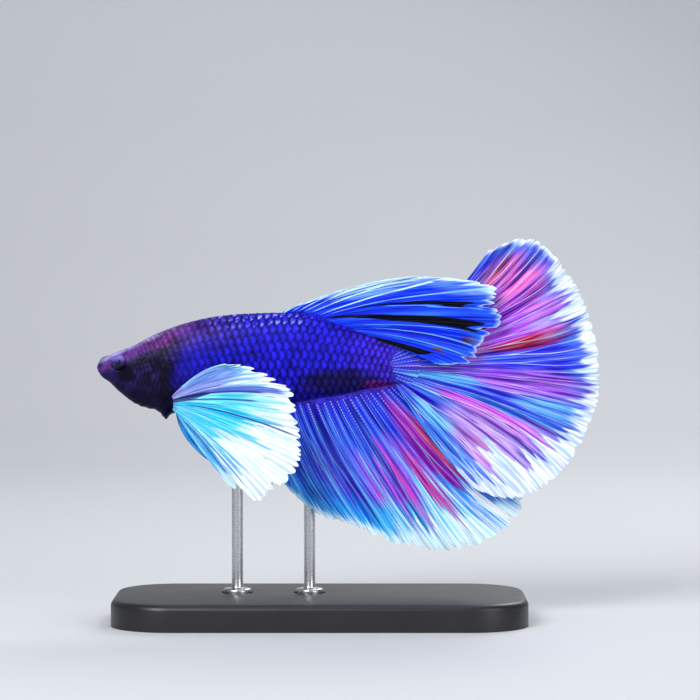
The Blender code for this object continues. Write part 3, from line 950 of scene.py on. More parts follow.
pectoralRays = (
    ((-22.0, 2.9, 34.0), (-18.0, 5.2, 38.3), (-14.1, 7.0, 38.9)),
    ((-22.0, 2.9, 33.8), (-16.0, 5.9, 37.9), (-10.3, 8.6, 38.6)),
    ((-21.9, 3.0, 33.6), (-14.4, 6.5, 36.9), (-6.4, 10.2, 36.9)),
    ((-21.9, 3.0, 33.3), (-13.2, 7.0, 35.4), (-3.7, 11.2, 34.6)),
    ((-21.8, 3.0, 33.0), (-12.6, 7.3, 33.6), (-3.1, 11.6, 31.4)),
    ((-21.8, 3.0, 32.8), (-12.6, 7.4, 31.9), (-2.7, 11.7, 28.3)),
    ((-21.8, 2.9, 32.5), (-13.0, 7.3, 30.3), (-2.9, 11.5, 25.2)),
    ((-21.8, 2.8, 32.3), (-13.9, 7.0, 28.9), (-4.4, 10.9, 22.2)),
    ((-21.9, 2.7, 32.1), (-15.2, 6.6, 28.0), (-6.9, 10.0, 20.2)),
    ((-21.9, 2.6, 31.9), (-16.1, 6.1, 27.6), (-9.1, 9.0, 18.4)),
    ((-22.0, 2.5, 31.8), (-16.9, 5.6, 27.8), (-11.8, 8.0, 20.8)),
)
leftPelvicRays = (
    ((-21.7, -0.9, 31.6), (-20.0, -2.8, 28.3), (-12.9, -3.6, 19.8)),
    ((-21.2, -0.9, 31.6), (-18.9, -2.8, 28.6), (-12.0, -3.6, 20.1)),
    ((-20.7, -0.9, 31.6), (-17.8, -2.8, 28.8), (-11.7, -3.6, 21.0)),
)
rightPelvicRays = (
    ((-21.7, 0.9, 31.6), (-21.6, 2.4, 27.4), (-16.6, 3.2, 23.6)),
    ((-21.2, 0.9, 31.6), (-19.9, 2.4, 27.8), (-15.3, 3.2, 23.5)),
    ((-20.7, 0.9, 31.6), (-18.4, 2.4, 28.4), (-15.1, 3.2, 24.9)),
)

tailFan = {
    "centre": (12.0, 38.25),
    "rootBack": -0.7,
    "rootHeight": 2.75,
    "bend": 0.52,
    "bendLean": 0.3,
    "reach": 30.0,
    "footSpread": 0.0126,  # how fast the stalk's ray feet open, per mm
    # tip's angle over the horizontal, radius, sideways lean, and the angle that the ray leaves at
    "tips": ((52.5, 21.6, 1.6, 50.0), (45.5, 26.6, 1.5, 38.0), (37.0, 28.3, 1.2, 25.0),
             (22.0, 29.2, 0.8, 12.0), (5.0, 29.9, 0.2, 2.0), (-12.0, 30.0, -0.6, -6.0),
             (-28.0, 29.2, -1.5, -18.0), (-40.0, 28.0, -2.2, -34.0), (-51.0, 25.2, -2.5, -56.0),
             (-59.0, 21.0, -2.6, -71.0)),
}


def tailRays(count=24):
    # rays evenly spread in angle, so that the fan opens like a real one
    t = tailFan
    centreX, centreZ = t["centre"]
    angle, radius, lean, start = curveRow(t["tips"], np.linspace(0, 1, 300)).T

    def reach(degrees, length, y):
        turn = math.radians(degrees)
        return centreX + length * math.cos(turn), y, centreZ + length * math.sin(turn)

    rays = []
    for turn in np.linspace(angle[0], angle[-1], count):
        r, y, first = (np.interp(-turn, -angle, row) for row in (radius, lean, start))
        root = (centreX + t["rootBack"], 0.0, centreZ - t["rootHeight"] * turn / angle[-1])
        rays.append((root, reach(first, t["bend"] * r, t["bendLean"] * y), reach(turn, r, y)))
    return rays


def leftOf(rays):
    return [[(x, -y, z) for x, y, z in ray] for ray in rays]


foldValues = (0.62, 0.38, 0.53, 1.3)  # share of quick and slow folds, slow folds' pace and start
# waves along a fin: size, pace and start
rayWaves = ((0.012, 12.6, 1.1), (0.005, 31.0, 0.4))
lobeWaves = ((0.010, 21.0, 1.0), (0.004, 67.0, 0.0))
# waves along and out: size, both paces and start
swayWaves = ((1.0, 10.0, 4.4, 0.5), (0.6, 23.0, -5.6, 2.0))


def waves(rows, u):
    return sum(size * np.sin(pace * u + start) for size, pace, start in rows)


def finFold(u, fin):
    # broad folds, 1 on a crest and -1 in a valley
    quick, slow, pace, start = foldValues
    turn = 2 * np.pi * fin["pleats"] * u
    return quick * np.cos(turn) + slow * np.cos(pace * turn + start)


def finSurface(rays, fin, u, v):
    # points of a fin's middle sheet, in mm: uneven rays, bunched in the valleys and swaying
    inner = np.sin(np.pi * np.clip(u, 0, 1))
    pleats = 2 * np.pi * fin["pleats"]
    across = u + inner * waves(rayWaves, u)
    across = across - fin["bunch"] * v * inner**0.5 * np.sin(pleats * u) / pleats
    swaying = sum(size * np.sin(along * u + out * v + start)
                  for size, along, out, start in swayWaves)
    across = across + fin["sway"] * inner * v * swaying
    root, bend, tip = np.moveaxis(curveRow(rays, across), 1, 0)
    a = v[:, None]
    points = (1 - a) ** 2 * root + 2 * a * (1 - a) * bend + a**2 * tip
    points[:, 1] -= fin["depth"] * np.clip(v, 0, 2) ** 1.3 * finFold(u, fin)
    return points


forkLength = 0.3  # share of the fin over which a fork opens


def raySpread(u, v, fin):
    # how far a place is from the nearest ray line, where each ray forks twice on its way out
    q = np.abs((u * fin["rays"]) % 1.0 - 0.5)
    first = smooth(v, fin["fork"], fin["fork"] + forkLength)
    second = smooth(v, fin["forkTwo"], fin["forkTwo"] + forkLength) * fin["forks"]
    return np.abs(np.abs(q - 0.25 * first) - 0.125 * second)


def finEdge(u, fin, rng):
    # how far each place of the edge reaches: round lobes of uneven length, and a few tears
    phase = fin["lobes"] * (u + waves(lobeWaves, u))
    lobe = np.abs(np.sin(np.pi * phase)) ** 0.6

    def uneven(every):
        count = fin["lobes"] // every + 3
        return np.interp(phase / every + 1, np.arange(count), rng.uniform(0, 1, count))

    small, big = uneven(1), uneven(4)
    reach = 1 + fin["over"] - fin["notch"] * (1 - lobe) * (0.4 + 1.2 * small) - fin["ragged"] * big
    for at, width, depth in fin["tears"]:
        reach = reach - depth * smooth(np.abs(u - at), width, width * 0.3)
    return reach


def makeFin(name, node, rays, fin, material, seed):
    obj = addGrid(name, fin["columns"], fin["steps"])
    co = getPoints(obj)
    u, v = co[:, 0] + 0.5, co[:, 1] + 0.5
    points = finSurface(rays, fin, u, v * finEdge(u, fin, np.random.default_rng(seed)))
    # the edge ripples from side to side, once for each lobe
    points[:, 1] += fin["ripple"] * smooth(v, 0.7, 1.0) * np.cos(2 * np.pi * fin["lobes"] * u)
    setPoints(obj, points)
    # thick along the rays, thin between them, thinner towards the edge
    wide = fin["line"] / (v + fin["spread"])
    line = 1 - smooth(raySpread(u, v, fin) / wide, *fin["rayEdge"])
    between = fin["between"]
    weight = (between + (1 - between) * line) * (1 - fin["taper"] * v)
    group = obj.vertex_groups.new(name="rays")
    for index, value in enumerate(weight):
        group.add([index], float(value), "REPLACE")
    solid = obj.modifiers.new("thickness", "SOLIDIFY")
    solid.thickness = fin["thickness"] * mm
    solid.offset = 0.0
    solid.vertex_group = "rays"
    solid.use_rim = True
    applyModifiers(obj)
    outside(obj)
    smoothShade(obj, 60)
    return settle(obj, (node,), material)


# fin pattern, shared by all fins: forked ray lines, creases between them, streaks along them

rayInputs = {"Rays": "rays", "Fork": "fork", "Fork Two": "forkTwo", "Forks": "forks",
             "Line": "line", "Spread": "spread", "Pleats": "pleats"}
streakRows = {"Bundle": (0.9, 1.1, 0.0, 2.0), "Streak": (4.0, 2.2, 7.0, 3.0),
              "Fine": (10.0, 3.0, 19.0, 2.0)}  # across, along, seed, detail
beadValues = (380.0, 9.0)  # along, across


def makeRayGroup():
    floats = [(label, "Float", 0.0) for label in (*rayInputs, "Seed")]
    labels = ("Line", "Crease", "Fold", "Bundle", "Streak", "Fine", "Dots")
    given, end = newGroup("finRays", [("UV", "Vector", None)] + floats,
                          [(label, "Float") for label in labels])
    u, v = splitXyz(given["UV"])[:2]
    un = times(u, given["Rays"])
    q = calc("ABSOLUTE", minus(calc("FRACT", un), 0.5))
    one = fade(minus(v, given["Fork"]), 0.0, forkLength)
    two = times(fade(minus(v, given["Fork Two"]), 0.0, forkLength), given["Forks"])
    first = calc("ABSOLUTE", minus(q, times(one, 0.25)))
    gap = calc("ABSOLUTE", minus(first, times(two, 0.125)))
    # the same width in the flesh from root to tip
    wide = over(given["Line"], plus(v, given["Spread"]))
    half = times(scaled(one, -0.25, 0.5), scaled(two, -0.5, 1.0))
    found = {"Line": fade(over(gap, wide), 0.2, 1.3, 1.0, 0.0),
             "Crease": fade(over(gap, half), 0.55, 1.0)}
    quick, slow, pace, start = foldValues
    turn = times(u, given["Pleats"], 2 * math.pi)
    slowly = calc("COSINE", scaled(turn, pace, start))
    found["Fold"] = scaled(slowly, slow, times(calc("COSINE", turn), quick))
    for label, (across, along, extra, detail) in streakRows.items():
        vector = joinXyz(times(un, across), times(v, along), plus(given["Seed"], extra))
        found[label] = noise(vector, 1.0, detail)
    beads = calc("SINE", scaled(v, beadValues[0], times(un, beadValues[1])))
    nearLine = fade(over(gap, wide), 0.6, 1.8, 1.0, 0.0)
    found["Dots"] = times(fade(beads, -0.3, 0.6), nearLine)
    feed(end, found)


def useRays(uv, fin, look):
    inputs = {label: float(fin[key]) for label, key in rayInputs.items()}
    return useGroup("finRays", {"UV": uv, "Seed": look["seed"], **inputs})


def strokeMask(u, v, start, end, halfStart, halfEnd, soft):
    # a long stroke from (u, v) to (u, v), its half width at either end and how far its end fades
    run = calc("DIVIDE", minus(v, start[1]), end[1] - start[1], clamp=True)
    middle = scaled(run, end[0] - start[0], start[0])
    half = scaled(run, halfEnd - halfStart, halfStart)
    off = over(calc("ABSOLUTE", minus(u, middle)), half)
    ends = times(fade(v, start[1] - 0.01, start[1] + 0.06), fade(v, end[1] + 0.02, end[1] - soft))
    return times(fade(off, 1.15, 0.8), ends)


def edgeWidth(u, stops):
    # width of the pale edge, from stops along the fin
    ramp = addNode("ShaderNodeValToRGB", {0: u})
    band = ramp.color_ramp
    band.interpolation = "EASE"
    for number, (at, width) in enumerate(stops):
        stop = band.elements[number] if number < 2 else band.elements.new(at)
        stop.position = at
        stop.color = (width, width, width, 1)
    return ramp.outputs[0]


# where each marking fades in: from, to, and the shares at either end if they aren't 0 and 1 or
# given by the fin's own look
webFades = {
    "mid": (0.38, 0.60), "wash": (0.40, 0.56), "valley": (0.0, -0.9), "crest": (0.1, 0.9),
    "light": (0.50, 0.66), "dark": (0.50, 0.64), "crease": (0.62, 0.40, 0.2),
    "line": (0.36, 0.60, 0.15, 1.0), "lineFoot": (0.0, 0.2, 0.35, 1.0),
    # wobbles of the pale edge's width
    "edgeStreak": (0.34, 0.66, 0.35, 1.6), "edgeBundle": (0.34, 0.66, 0.6, 1.35),
    "edgeFine": (0.34, 0.66, 0.7, 1.25),
    "mist": (-0.16, 0.0), "mistBroken": (0.42, 0.58, 0.2, 1.0), "edge": (-0.035, 0.025),
    "edgeTint": (0.42, 0.60), "hem": (0.972, 0.99), "hemEnds": (0.0, 0.02),
    "solid": (0.40, 0.58),
}


def paintFin(rays, uv, look):
    # a fin's colours, from the pattern of its rays
    f = webFades
    u, v = splitXyz(uv)[:2]
    bundle, streak, fine, fold = (rays[label] for label in ("Bundle", "Streak", "Fine", "Fold"))
    shade, light = look["shade"], look["light"]
    color = lay(look["deep"], look["mid"], fade(bundle, *f["mid"]))
    # washes of colour that break up into streaks along the rays
    for number, (centre, size, strength, streaky, wash) in enumerate(look["washes"]):
        broken = fade(streak if number % 2 else fine, *f["wash"], 1 - streaky, 1.0)
        color = lay(color, wash, blob(u, v, centre, size), strength, broken)
    # folds, with painted shade in the valleys and painted highlight on the crests, then fine streaks,
    # light and dark
    valley = fade(fold, *f["valley"], 0.0, look["foldShare"])
    color = mixColor(valley, color, shade, "MULTIPLY")
    color = mixColor(fade(fold, *f["crest"], 0.0, look["crestShare"]), color, light, "ADD")
    color = mixColor(fade(streak, *f["light"], 0.0, look["lightShare"]), color, light, "ADD")
    dark = mixColor(1.0, color, shade, "MULTIPLY")
    color = lay(color, dark, fade(fine, *f["dark"], 0.0, look["darkShare"]))
    # painted shade in the creases between the rays
    color = lay(color, dark, rays["Crease"], fade(streak, *f["crease"], look["creaseShare"]))
    # light ray lines that come and go
    come = times(fade(fine, *f["line"]), fade(v, *f["lineFoot"]))
    color = lay(color, look["line"], rays["Line"], come, look["lineShare"])
    # pale edge of changing width, with a streaky inner border
    wide = edgeWidth(u, look["edge"])
    wobble = times(fade(streak, *f["edgeStreak"]), fade(bundle, *f["edgeBundle"]),
                   fade(fine, *f["edgeFine"]))
    past = minus(v, minus(1.0, times(wide, wobble)))
    mist = times(fade(past, *f["mist"]), fade(streak, *f["mistBroken"]))
    color = lay(color, look["mist"], mist, look["mistShare"])
    hem = times(fade(v, *f["hem"]), fade(wide, *f["hemEnds"]), look["hem"])
    edge = lay(look["edgeColor"], look["edgeTint"], fade(fine, *f["edgeTint"]))
    pale = calc("MAXIMUM", fade(past, *f["edge"]), hem)
    color = lay(color, edge, pale, look["edgeShare"])
    color = lay(color, look["root"], fade(v, look["rootTo"], 0.0), look["rootShare"])
    color = lay(color, look["dots"], rays["Dots"], look["dotsShare"], fade(v, look["dotsTo"], 0.02))
    solid = fade(fine, *f["solid"], 1 - look["strokeBreak"], 1.0)
    for start, end, halfStart, halfEnd, strength, paint in look["strokes"]:
        mask = strokeMask(u, v, start, end, halfStart, halfEnd, look["strokeSoft"])
        color = lay(color, paint, mask, solid, strength)
    return color


def makeFinMaterial(name, fin, look):
    material, shader = newMaterial(name)
    uv = readUv(shader, "UVMap")
    rays = useRays(uv, fin, look)
    streak = rays["Streak"]
    feed(shader, {"Base Color": paintFin(rays, uv, look), "Specular IOR Level": 0.08,
                  "Roughness": fade(streak, 0.3, 0.7, 0.42, 0.58)})
    height = plus(minus(rays["Line"], times(rays["Crease"], 0.4)), times(streak, 0.8))
    addBump(shader, height, 0.6, 0.00007)
    return material


# what most fins share, then each fin's own shape: rays, how far out they fork and whether they
# fork twice, their width, the grid, the edge's lobes with the depth of their notches, folds
# that bunch and sway the rays, and tears as place, half width and depth
plainFin = {
    "forks": 1, "steps": 60, "thickness": 0.3, "sway": 0.01, "bunch": 0.35, "ripple": 0.14,
    "tears": (),
    # share of the thickness left between the rays and lost at the edge, and how rays round off
    "between": 0.25, "taper": 0.45, "rayEdge": (0.4, 1.6),
}
tailFin = {
    **plainFin,
    "rays": 12, "fork": 0.15, "forkTwo": 0.5, "line": 0.018, "spread": 0.12, "columns": 560,
    "lobes": 44, "notch": 0.02, "over": 0.014, "ragged": 0.022, "pleats": 12, "depth": 0.5,
}
analFin = {
    **plainFin,
    "rays": 29, "fork": 0.35, "forkTwo": 0.9, "forks": 0, "line": 0.085, "spread": 1.0,
    "columns": 560, "lobes": 25, "notch": 0.046, "over": 0.018, "ragged": 0.04, "pleats": 11,
    "depth": 0.3, "sway": 0.012,
    "tears": ((0.34, 0.012, 0.05), (0.52, 0.01, 0.04), (0.9, 0.02, 0.05)),
}
dorsalFin = {
    **plainFin,
    "rays": 12, "fork": 0.2, "forkTwo": 0.55, "line": 0.07, "spread": 1.2, "columns": 360,
    "steps": 70, "lobes": 22, "notch": 0.035, "over": 0.012, "ragged": 0.04, "pleats": 8,
    "depth": 0.34, "bunch": 0.4, "ripple": 0.1,
    "tears": ((0.58, 0.015, 0.05), (0.73, 0.02, 0.06), (0.9, 0.02, 0.06)),
}
pectoralFin = {
    **plainFin,
    "rays": 9, "fork": 0.12, "forkTwo": 0.5, "line": 0.02, "spread": 0.1, "columns": 380,
    "steps": 50, "lobes": 30, "notch": 0.034, "over": 0.02, "ragged": 0.042, "pleats": 5,
    "depth": 0.42, "bunch": 0.3, "sway": 0.008, "ripple": 0.16, "thickness": 0.28,
    "tears": ((0.035, 0.014, 0.05), (0.085, 0.014, 0.06), (0.14, 0.02, 0.07), (0.185, 0.012, 0.05),
              (0.23, 0.022, 0.08), (0.335, 0.02, 0.045), (0.4, 0.03, 0.03), (0.77, 0.02, 0.03)),
}
pelvicFin = {
    **plainFin,
    "rays": 2, "fork": 0.3, "forkTwo": 0.9, "forks": 0, "line": 0.07, "spread": 0.2, "columns": 40,
    "lobes": 2, "notch": 0.05, "over": 0.0, "ragged": 0.02, "pleats": 1, "depth": 0.1, "bunch": 0.0,
    "sway": 0.0, "ripple": 0.04, "thickness": 0.34,
}

# screen colours, 0 to 255, and what is added as painted highlight on the fold crests and as pale
# streaks
pink, coral, crimson, wine = (236, 128, 226), (236, 96, 150), (206, 22, 76), (96, 6, 40)
ultramarine, azure, cyan, mint = (24, 18, 196), (30, 120, 250), (88, 200, 250), (206, 244, 252)
# a near-black that stands for painted shadow in the dorsal fin's gaps
white, gapShadow = (246, 250, 255), (3, 3, 16)
blueLift, whiteLift = (0.07, 0.17, 0.24, 1.0), (0.25, 0.25, 0.25, 1.0)

# colours of each fin; places and sizes are shares along (u) and out (v) of the fin
# a wash is its centre, half sizes, strength, how streaky it is, and its colour
# a stroke is its start, end, half width at each, strength and colour
# edge gives the pale edge's width at places along the fin, its two ends first
plainLook = {
    "washes": (), "strokes": (), "strokeBreak": 0.0, "strokeSoft": 0.01, "dots": (190, 204, 255),
    "dotsShare": 0.0, "dotsTo": 0.1, "foldShare": 0.4, "crestShare": 0.3, "lightShare": 0.6,
    "darkShare": 0.5, "creaseShare": 0.8, "rootTo": 0.06, "rootShare": 0.6, "hem": 1.0,
    "edgeShare": 1.0,
}
tailLook = {
    **plainLook,
    "seed": 3.0, "deep": ultramarine, "mid": (50, 62, 240), "light": blueLift,
    "shade": (76, 50, 160), "foldShare": 0.5, "crestShare": 0.5, "lightShare": 0.8,
    "darkShare": 0.85, "creaseShare": 0.9, "lineShare": 0.85, "line": (206, 222, 255),
    "dotsShare": 0.45, "dotsTo": 0.36, "rootTo": 0.12, "rootShare": 0.45, "root": (44, 28, 200),
    "edgeColor": white, "edgeTint": (176, 204, 248), "edgeShare": 0.98, "mist": (92, 150, 246),
    "mistShare": 0.6,
    "edge": ((0.0, 0.02), (1.0, 0.18), (0.12, 0.02), (0.19, 0.06), (0.3, 0.1), (0.4, 0.06),
             (0.52, 0.07), (0.62, 0.06), (0.75, 0.17), (0.86, 0.24)),
    "washes": (
        ((0.02, 0.7), (0.1, 0.4), 0.8, 0.4, (50, 60, 226)),
        ((0.13, 0.66), (0.13, 0.36), 0.9, 0.4, (140, 70, 232)),
        ((0.07, 0.76), (0.05, 0.22), 1.0, 0.8, coral),
        ((0.16, 0.76), (0.08, 0.22), 1.0, 0.6, (238, 96, 190)),
        ((0.27, 0.6), (0.13, 0.4), 1.0, 0.2, (196, 66, 236)),
        ((0.36, 0.66), (0.03, 0.3), 1.0, 0.0, crimson),
        ((0.28, 0.8), (0.1, 0.14), 0.8, 0.5, pink),
        ((0.3, 0.34), (0.16, 0.16), 0.9, 0.5, pink),
        ((0.44, 0.74), (0.06, 0.34), 0.8, 0.5, (50, 44, 236)),
        ((0.54, 0.66), (0.09, 0.4), 1.0, 0.4, (196, 96, 238)),
        ((0.5, 0.36), (0.09, 0.26), 0.8, 0.6, (150, 70, 236)),
        ((0.63, 0.8), (0.05, 0.26), 0.95, 0.5, (96, 180, 248)),
        ((0.758, 0.5), (0.042, 0.46), 1.0, 0.2, (228, 62, 222)),
        ((0.6, 0.2), (0.07, 0.26), 0.95, 0.5, cyan),
        ((0.47, 0.12), (0.04, 0.2), 0.8, 0.3, (130, 40, 190)),
        ((0.78, 0.12), (0.06, 0.16), 0.8, 0.5, azure),
        ((0.725, 0.8), (0.035, 0.18), 1.0, 0.4, (236, 120, 226)),
        ((0.7, 0.6), (0.03, 0.4), 1.0, 0.4, (70, 150, 250)),
        ((0.84, 0.62), (0.1, 0.38), 1.0, 0.4, (222, 174, 250)),
        ((0.88, 0.7), (0.04, 0.28), 0.9, 0.5, (244, 128, 204)),
        ((0.965, 0.46), (0.06, 0.6), 1.0, 0.3, (64, 140, 244)),
        ((0.9, 0.3), (0.05, 0.2), 0.8, 0.5, (110, 200, 250)),
    ),
}
analLook = {
    **plainLook,
    "seed": 11.0, "deep": (30, 14, 190), "mid": (44, 62, 240), "light": (0.03, 0.11, 0.22, 1.0),
    "shade": (56, 34, 160), "foldShare": 0.45, "crestShare": 0.5, "lightShare": 0.85,
    "darkShare": 0.85, "creaseShare": 0.9, "lineShare": 0.7, "line": (140, 206, 255),
    "strokeBreak": 0.65, "strokeSoft": 0.16, "dotsShare": 0.8, "dotsTo": 0.4, "rootTo": 0.16,
    "rootShare": 0.8, "root": (48, 26, 190), "hem": 0.9, "edgeColor": white,
    "edgeTint": (150, 224, 252), "mist": (50, 190, 252), "mistShare": 0.9,
    "edge": ((0.0, 0.08), (1.0, 0.04), (0.13, 0.09), (0.26, 0.05), (0.42, 0.08), (0.56, 0.16),
             (0.66, 0.26), (0.78, 0.25), (0.87, 0.07)),
    "washes": (
        ((0.42, 0.62), (0.16, 0.36), 0.8, 0.7, (116, 48, 230)),
        ((0.5, 0.66), (0.05, 0.36), 0.9, 0.6, (206, 50, 204)),
        ((0.66, 0.6), (0.14, 0.36), 0.95, 0.6, (196, 66, 230)),
        ((0.8, 0.44), (0.07, 0.42), 0.95, 0.4, (200, 34, 190)),
        ((0.822, 0.5), (0.03, 0.3), 1.0, 0.1, crimson),
        ((0.58, 0.9), (0.36, 0.24), 1.0, 0.5, (60, 196, 252)),
        ((0.2, 0.86), (0.3, 0.34), 1.0, 0.5, (30, 140, 250)),
        ((0.46, 0.4), (0.3, 0.3), 0.7, 0.8, (70, 120, 246)),
        ((0.1, 0.5), (0.16, 0.5), 0.7, 0.6, azure),
        ((0.7, 0.66), (0.04, 0.34), 1.0, 0.2, (226, 50, 170)),
        ((0.84, 0.88), (0.1, 0.16), 0.95, 0.3, (50, 120, 246)),
        ((0.12, 0.84), (0.2, 0.28), 0.9, 0.2, (60, 146, 255)),
    ),
    "strokes": (
        ((0.755, 0.56), (0.78, 1.05), 0.008, 0.02, 0.85, (26, 132, 246)),
        ((0.8, 0.74), (0.812, 1.05), 0.005, 0.013, 0.95, white),
        ((0.84, 0.68), (0.852, 1.0), 0.01, 0.016, 0.7, (84, 104, 232)),
        ((0.6, 0.28), (0.612, 0.92), 0.005, 0.01, 0.85, (214, 54, 186)),
        ((0.56, 0.4), (0.562, 0.98), 0.004, 0.009, 0.7, (216, 90, 226)),
        ((0.655, 0.36), (0.665, 0.95), 0.005, 0.012, 0.75, (110, 214, 250)),
        ((0.51, 0.34), (0.505, 1.0), 0.004, 0.009, 0.75, (120, 206, 250)),
        ((0.43, 0.4), (0.42, 1.05), 0.004, 0.008, 0.75, (96, 196, 250)),
        ((0.35, 0.3), (0.335, 1.05), 0.004, 0.007, 0.75, (130, 200, 252)),
        ((0.26, 0.3), (0.24, 1.05), 0.004, 0.007, 0.75, (120, 190, 250)),
        ((0.39, 0.66), (0.4, 1.0), 0.004, 0.011, 0.75, (10, 84, 220)),
        ((0.305, 0.24), (0.288, 1.0), 0.003, 0.006, 0.8, (16, 18, 150)),
        ((0.225, 0.24), (0.203, 1.0), 0.003, 0.007, 0.8, (16, 22, 160)),
        ((0.185, 0.34), (0.16, 1.05), 0.004, 0.008, 0.85, (110, 206, 255)),
        ((0.145, 0.3), (0.122, 1.0), 0.003, 0.007, 0.8, (16, 30, 170)),
        ((0.105, 0.36), (0.082, 1.05), 0.005, 0.01, 0.85, (64, 184, 255)),
        ((0.062, 0.3), (0.045, 1.0), 0.003, 0.007, 0.8, (16, 30, 170)),
    ),
}
dorsalLook = {
    **plainLook,
    "seed": 23.0, "deep": (8, 34, 220), "mid": (8, 56, 250), "light": (0.04, 0.16, 0.2, 1.0),
    "shade": (60, 60, 190), "lightShare": 0.35, "creaseShare": 0.35, "lineShare": 0.25,
    "line": (110, 180, 255), "rootShare": 0.7, "root": (30, 22, 170), "hem": 0.8,
    "edgeColor": (236, 252, 255), "edgeTint": (176, 222, 255), "mist": (60, 140, 255),
    "mistShare": 0.4,
    "edge": ((0.0, 0.18), (1.0, 0.0), (0.15, 0.2), (0.3, 0.12), (0.42, 0.05), (0.56, 0.01),
             (0.7, 0.0)),
    "washes": (
        ((0.16, 0.8), (0.24, 0.4), 0.95, 0.85, mint),
        ((0.14, 0.72), (0.2, 0.44), 1.0, 0.35, mint),
        ((0.36, 0.9), (0.2, 0.2), 0.55, 0.8, (130, 184, 250)),
        ((0.46, 0.94), (0.05, 0.1), 0.5, 0.6, (170, 200, 250)),
        ((0.64, 0.45), (0.05, 0.4), 0.6, 0.3, (40, 110, 255)),
        ((0.807, 0.92), (0.02, 0.08), 1.0, 0.0, wine),
        ((0.906, 0.76), (0.018, 0.07), 1.0, 0.0, wine),
        ((0.29, 0.62), (0.07, 0.36), 0.95, 0.45, mint),
        ((0.38, 0.46), (0.05, 0.2), 0.7, 0.5, (140, 200, 228)),
    ),
    "strokes": (
        ((0.18, 0.12), (0.07, 0.92), 0.004, 0.018, 0.95, mint),
        ((0.25, 0.1), (0.13, 0.94), 0.004, 0.016, 0.95, mint),
        ((0.33, 0.08), (0.19, 0.94), 0.004, 0.014, 0.95, mint),
        ((0.4, 0.08), (0.27, 0.9), 0.004, 0.012, 0.95, mint),
        ((0.47, 0.08), (0.35, 0.84), 0.005, 0.006, 0.9, mint),
        ((0.5, 0.12), (0.44, 0.96), 0.003, 0.007, 0.7, (150, 214, 255)),
        ((0.535, 0.4), (0.6, 0.92), 0.003, 0.004, 0.8, (90, 170, 255)),
        ((0.755, 0.2), (0.765, 0.92), 0.003, 0.003, 0.8, (120, 190, 255)),
        ((0.8, 0.25), (0.825, 0.96), 0.003, 0.003, 0.8, (110, 180, 255)),
        ((0.81, 0.3), (0.835, 0.96), 0.003, 0.003, 0.7, (10, 14, 110)),
        ((0.86, 0.3), (0.89, 0.96), 0.003, 0.003, 0.8, (120, 190, 255)),
        # painted shadow: near-black strokes in the gaps between the folded lobes and under the last
        # rays
        ((0.5, 0.26), (0.575, 0.89), 0.006, 0.016, 1.0, gapShadow),
        ((0.545, 0.06), (0.665, 0.42), 0.01, 0.048, 1.0, gapShadow),
        ((0.655, 0.36), (0.732, 0.92), 0.046, 0.036, 1.0, gapShadow),
        ((0.98, 0.05), (0.962, 0.74), 0.034, 0.03, 1.0, gapShadow),
        ((0.265, 0.34), (0.27, 0.92), 0.005, 0.01, 0.95, mint),
        ((0.31, 0.3), (0.315, 0.84), 0.004, 0.009, 0.9, mint),
        ((0.288, 0.3), (0.292, 0.88), 0.003, 0.006, 0.75, (10, 44, 190)),
        ((0.345, 0.24), (0.35, 0.7), 0.003, 0.007, 0.8, (150, 214, 240)),
        ((0.33, 0.28), (0.333, 0.76), 0.003, 0.005, 0.75, (10, 44, 190)),
        ((0.02, 0.16), (0.03, 1.1), 0.01, 0.014, 0.9, mint),
        ((0.06, 0.3), (0.075, 0.9), 0.006, 0.01, 0.8, mint),
    ),
}
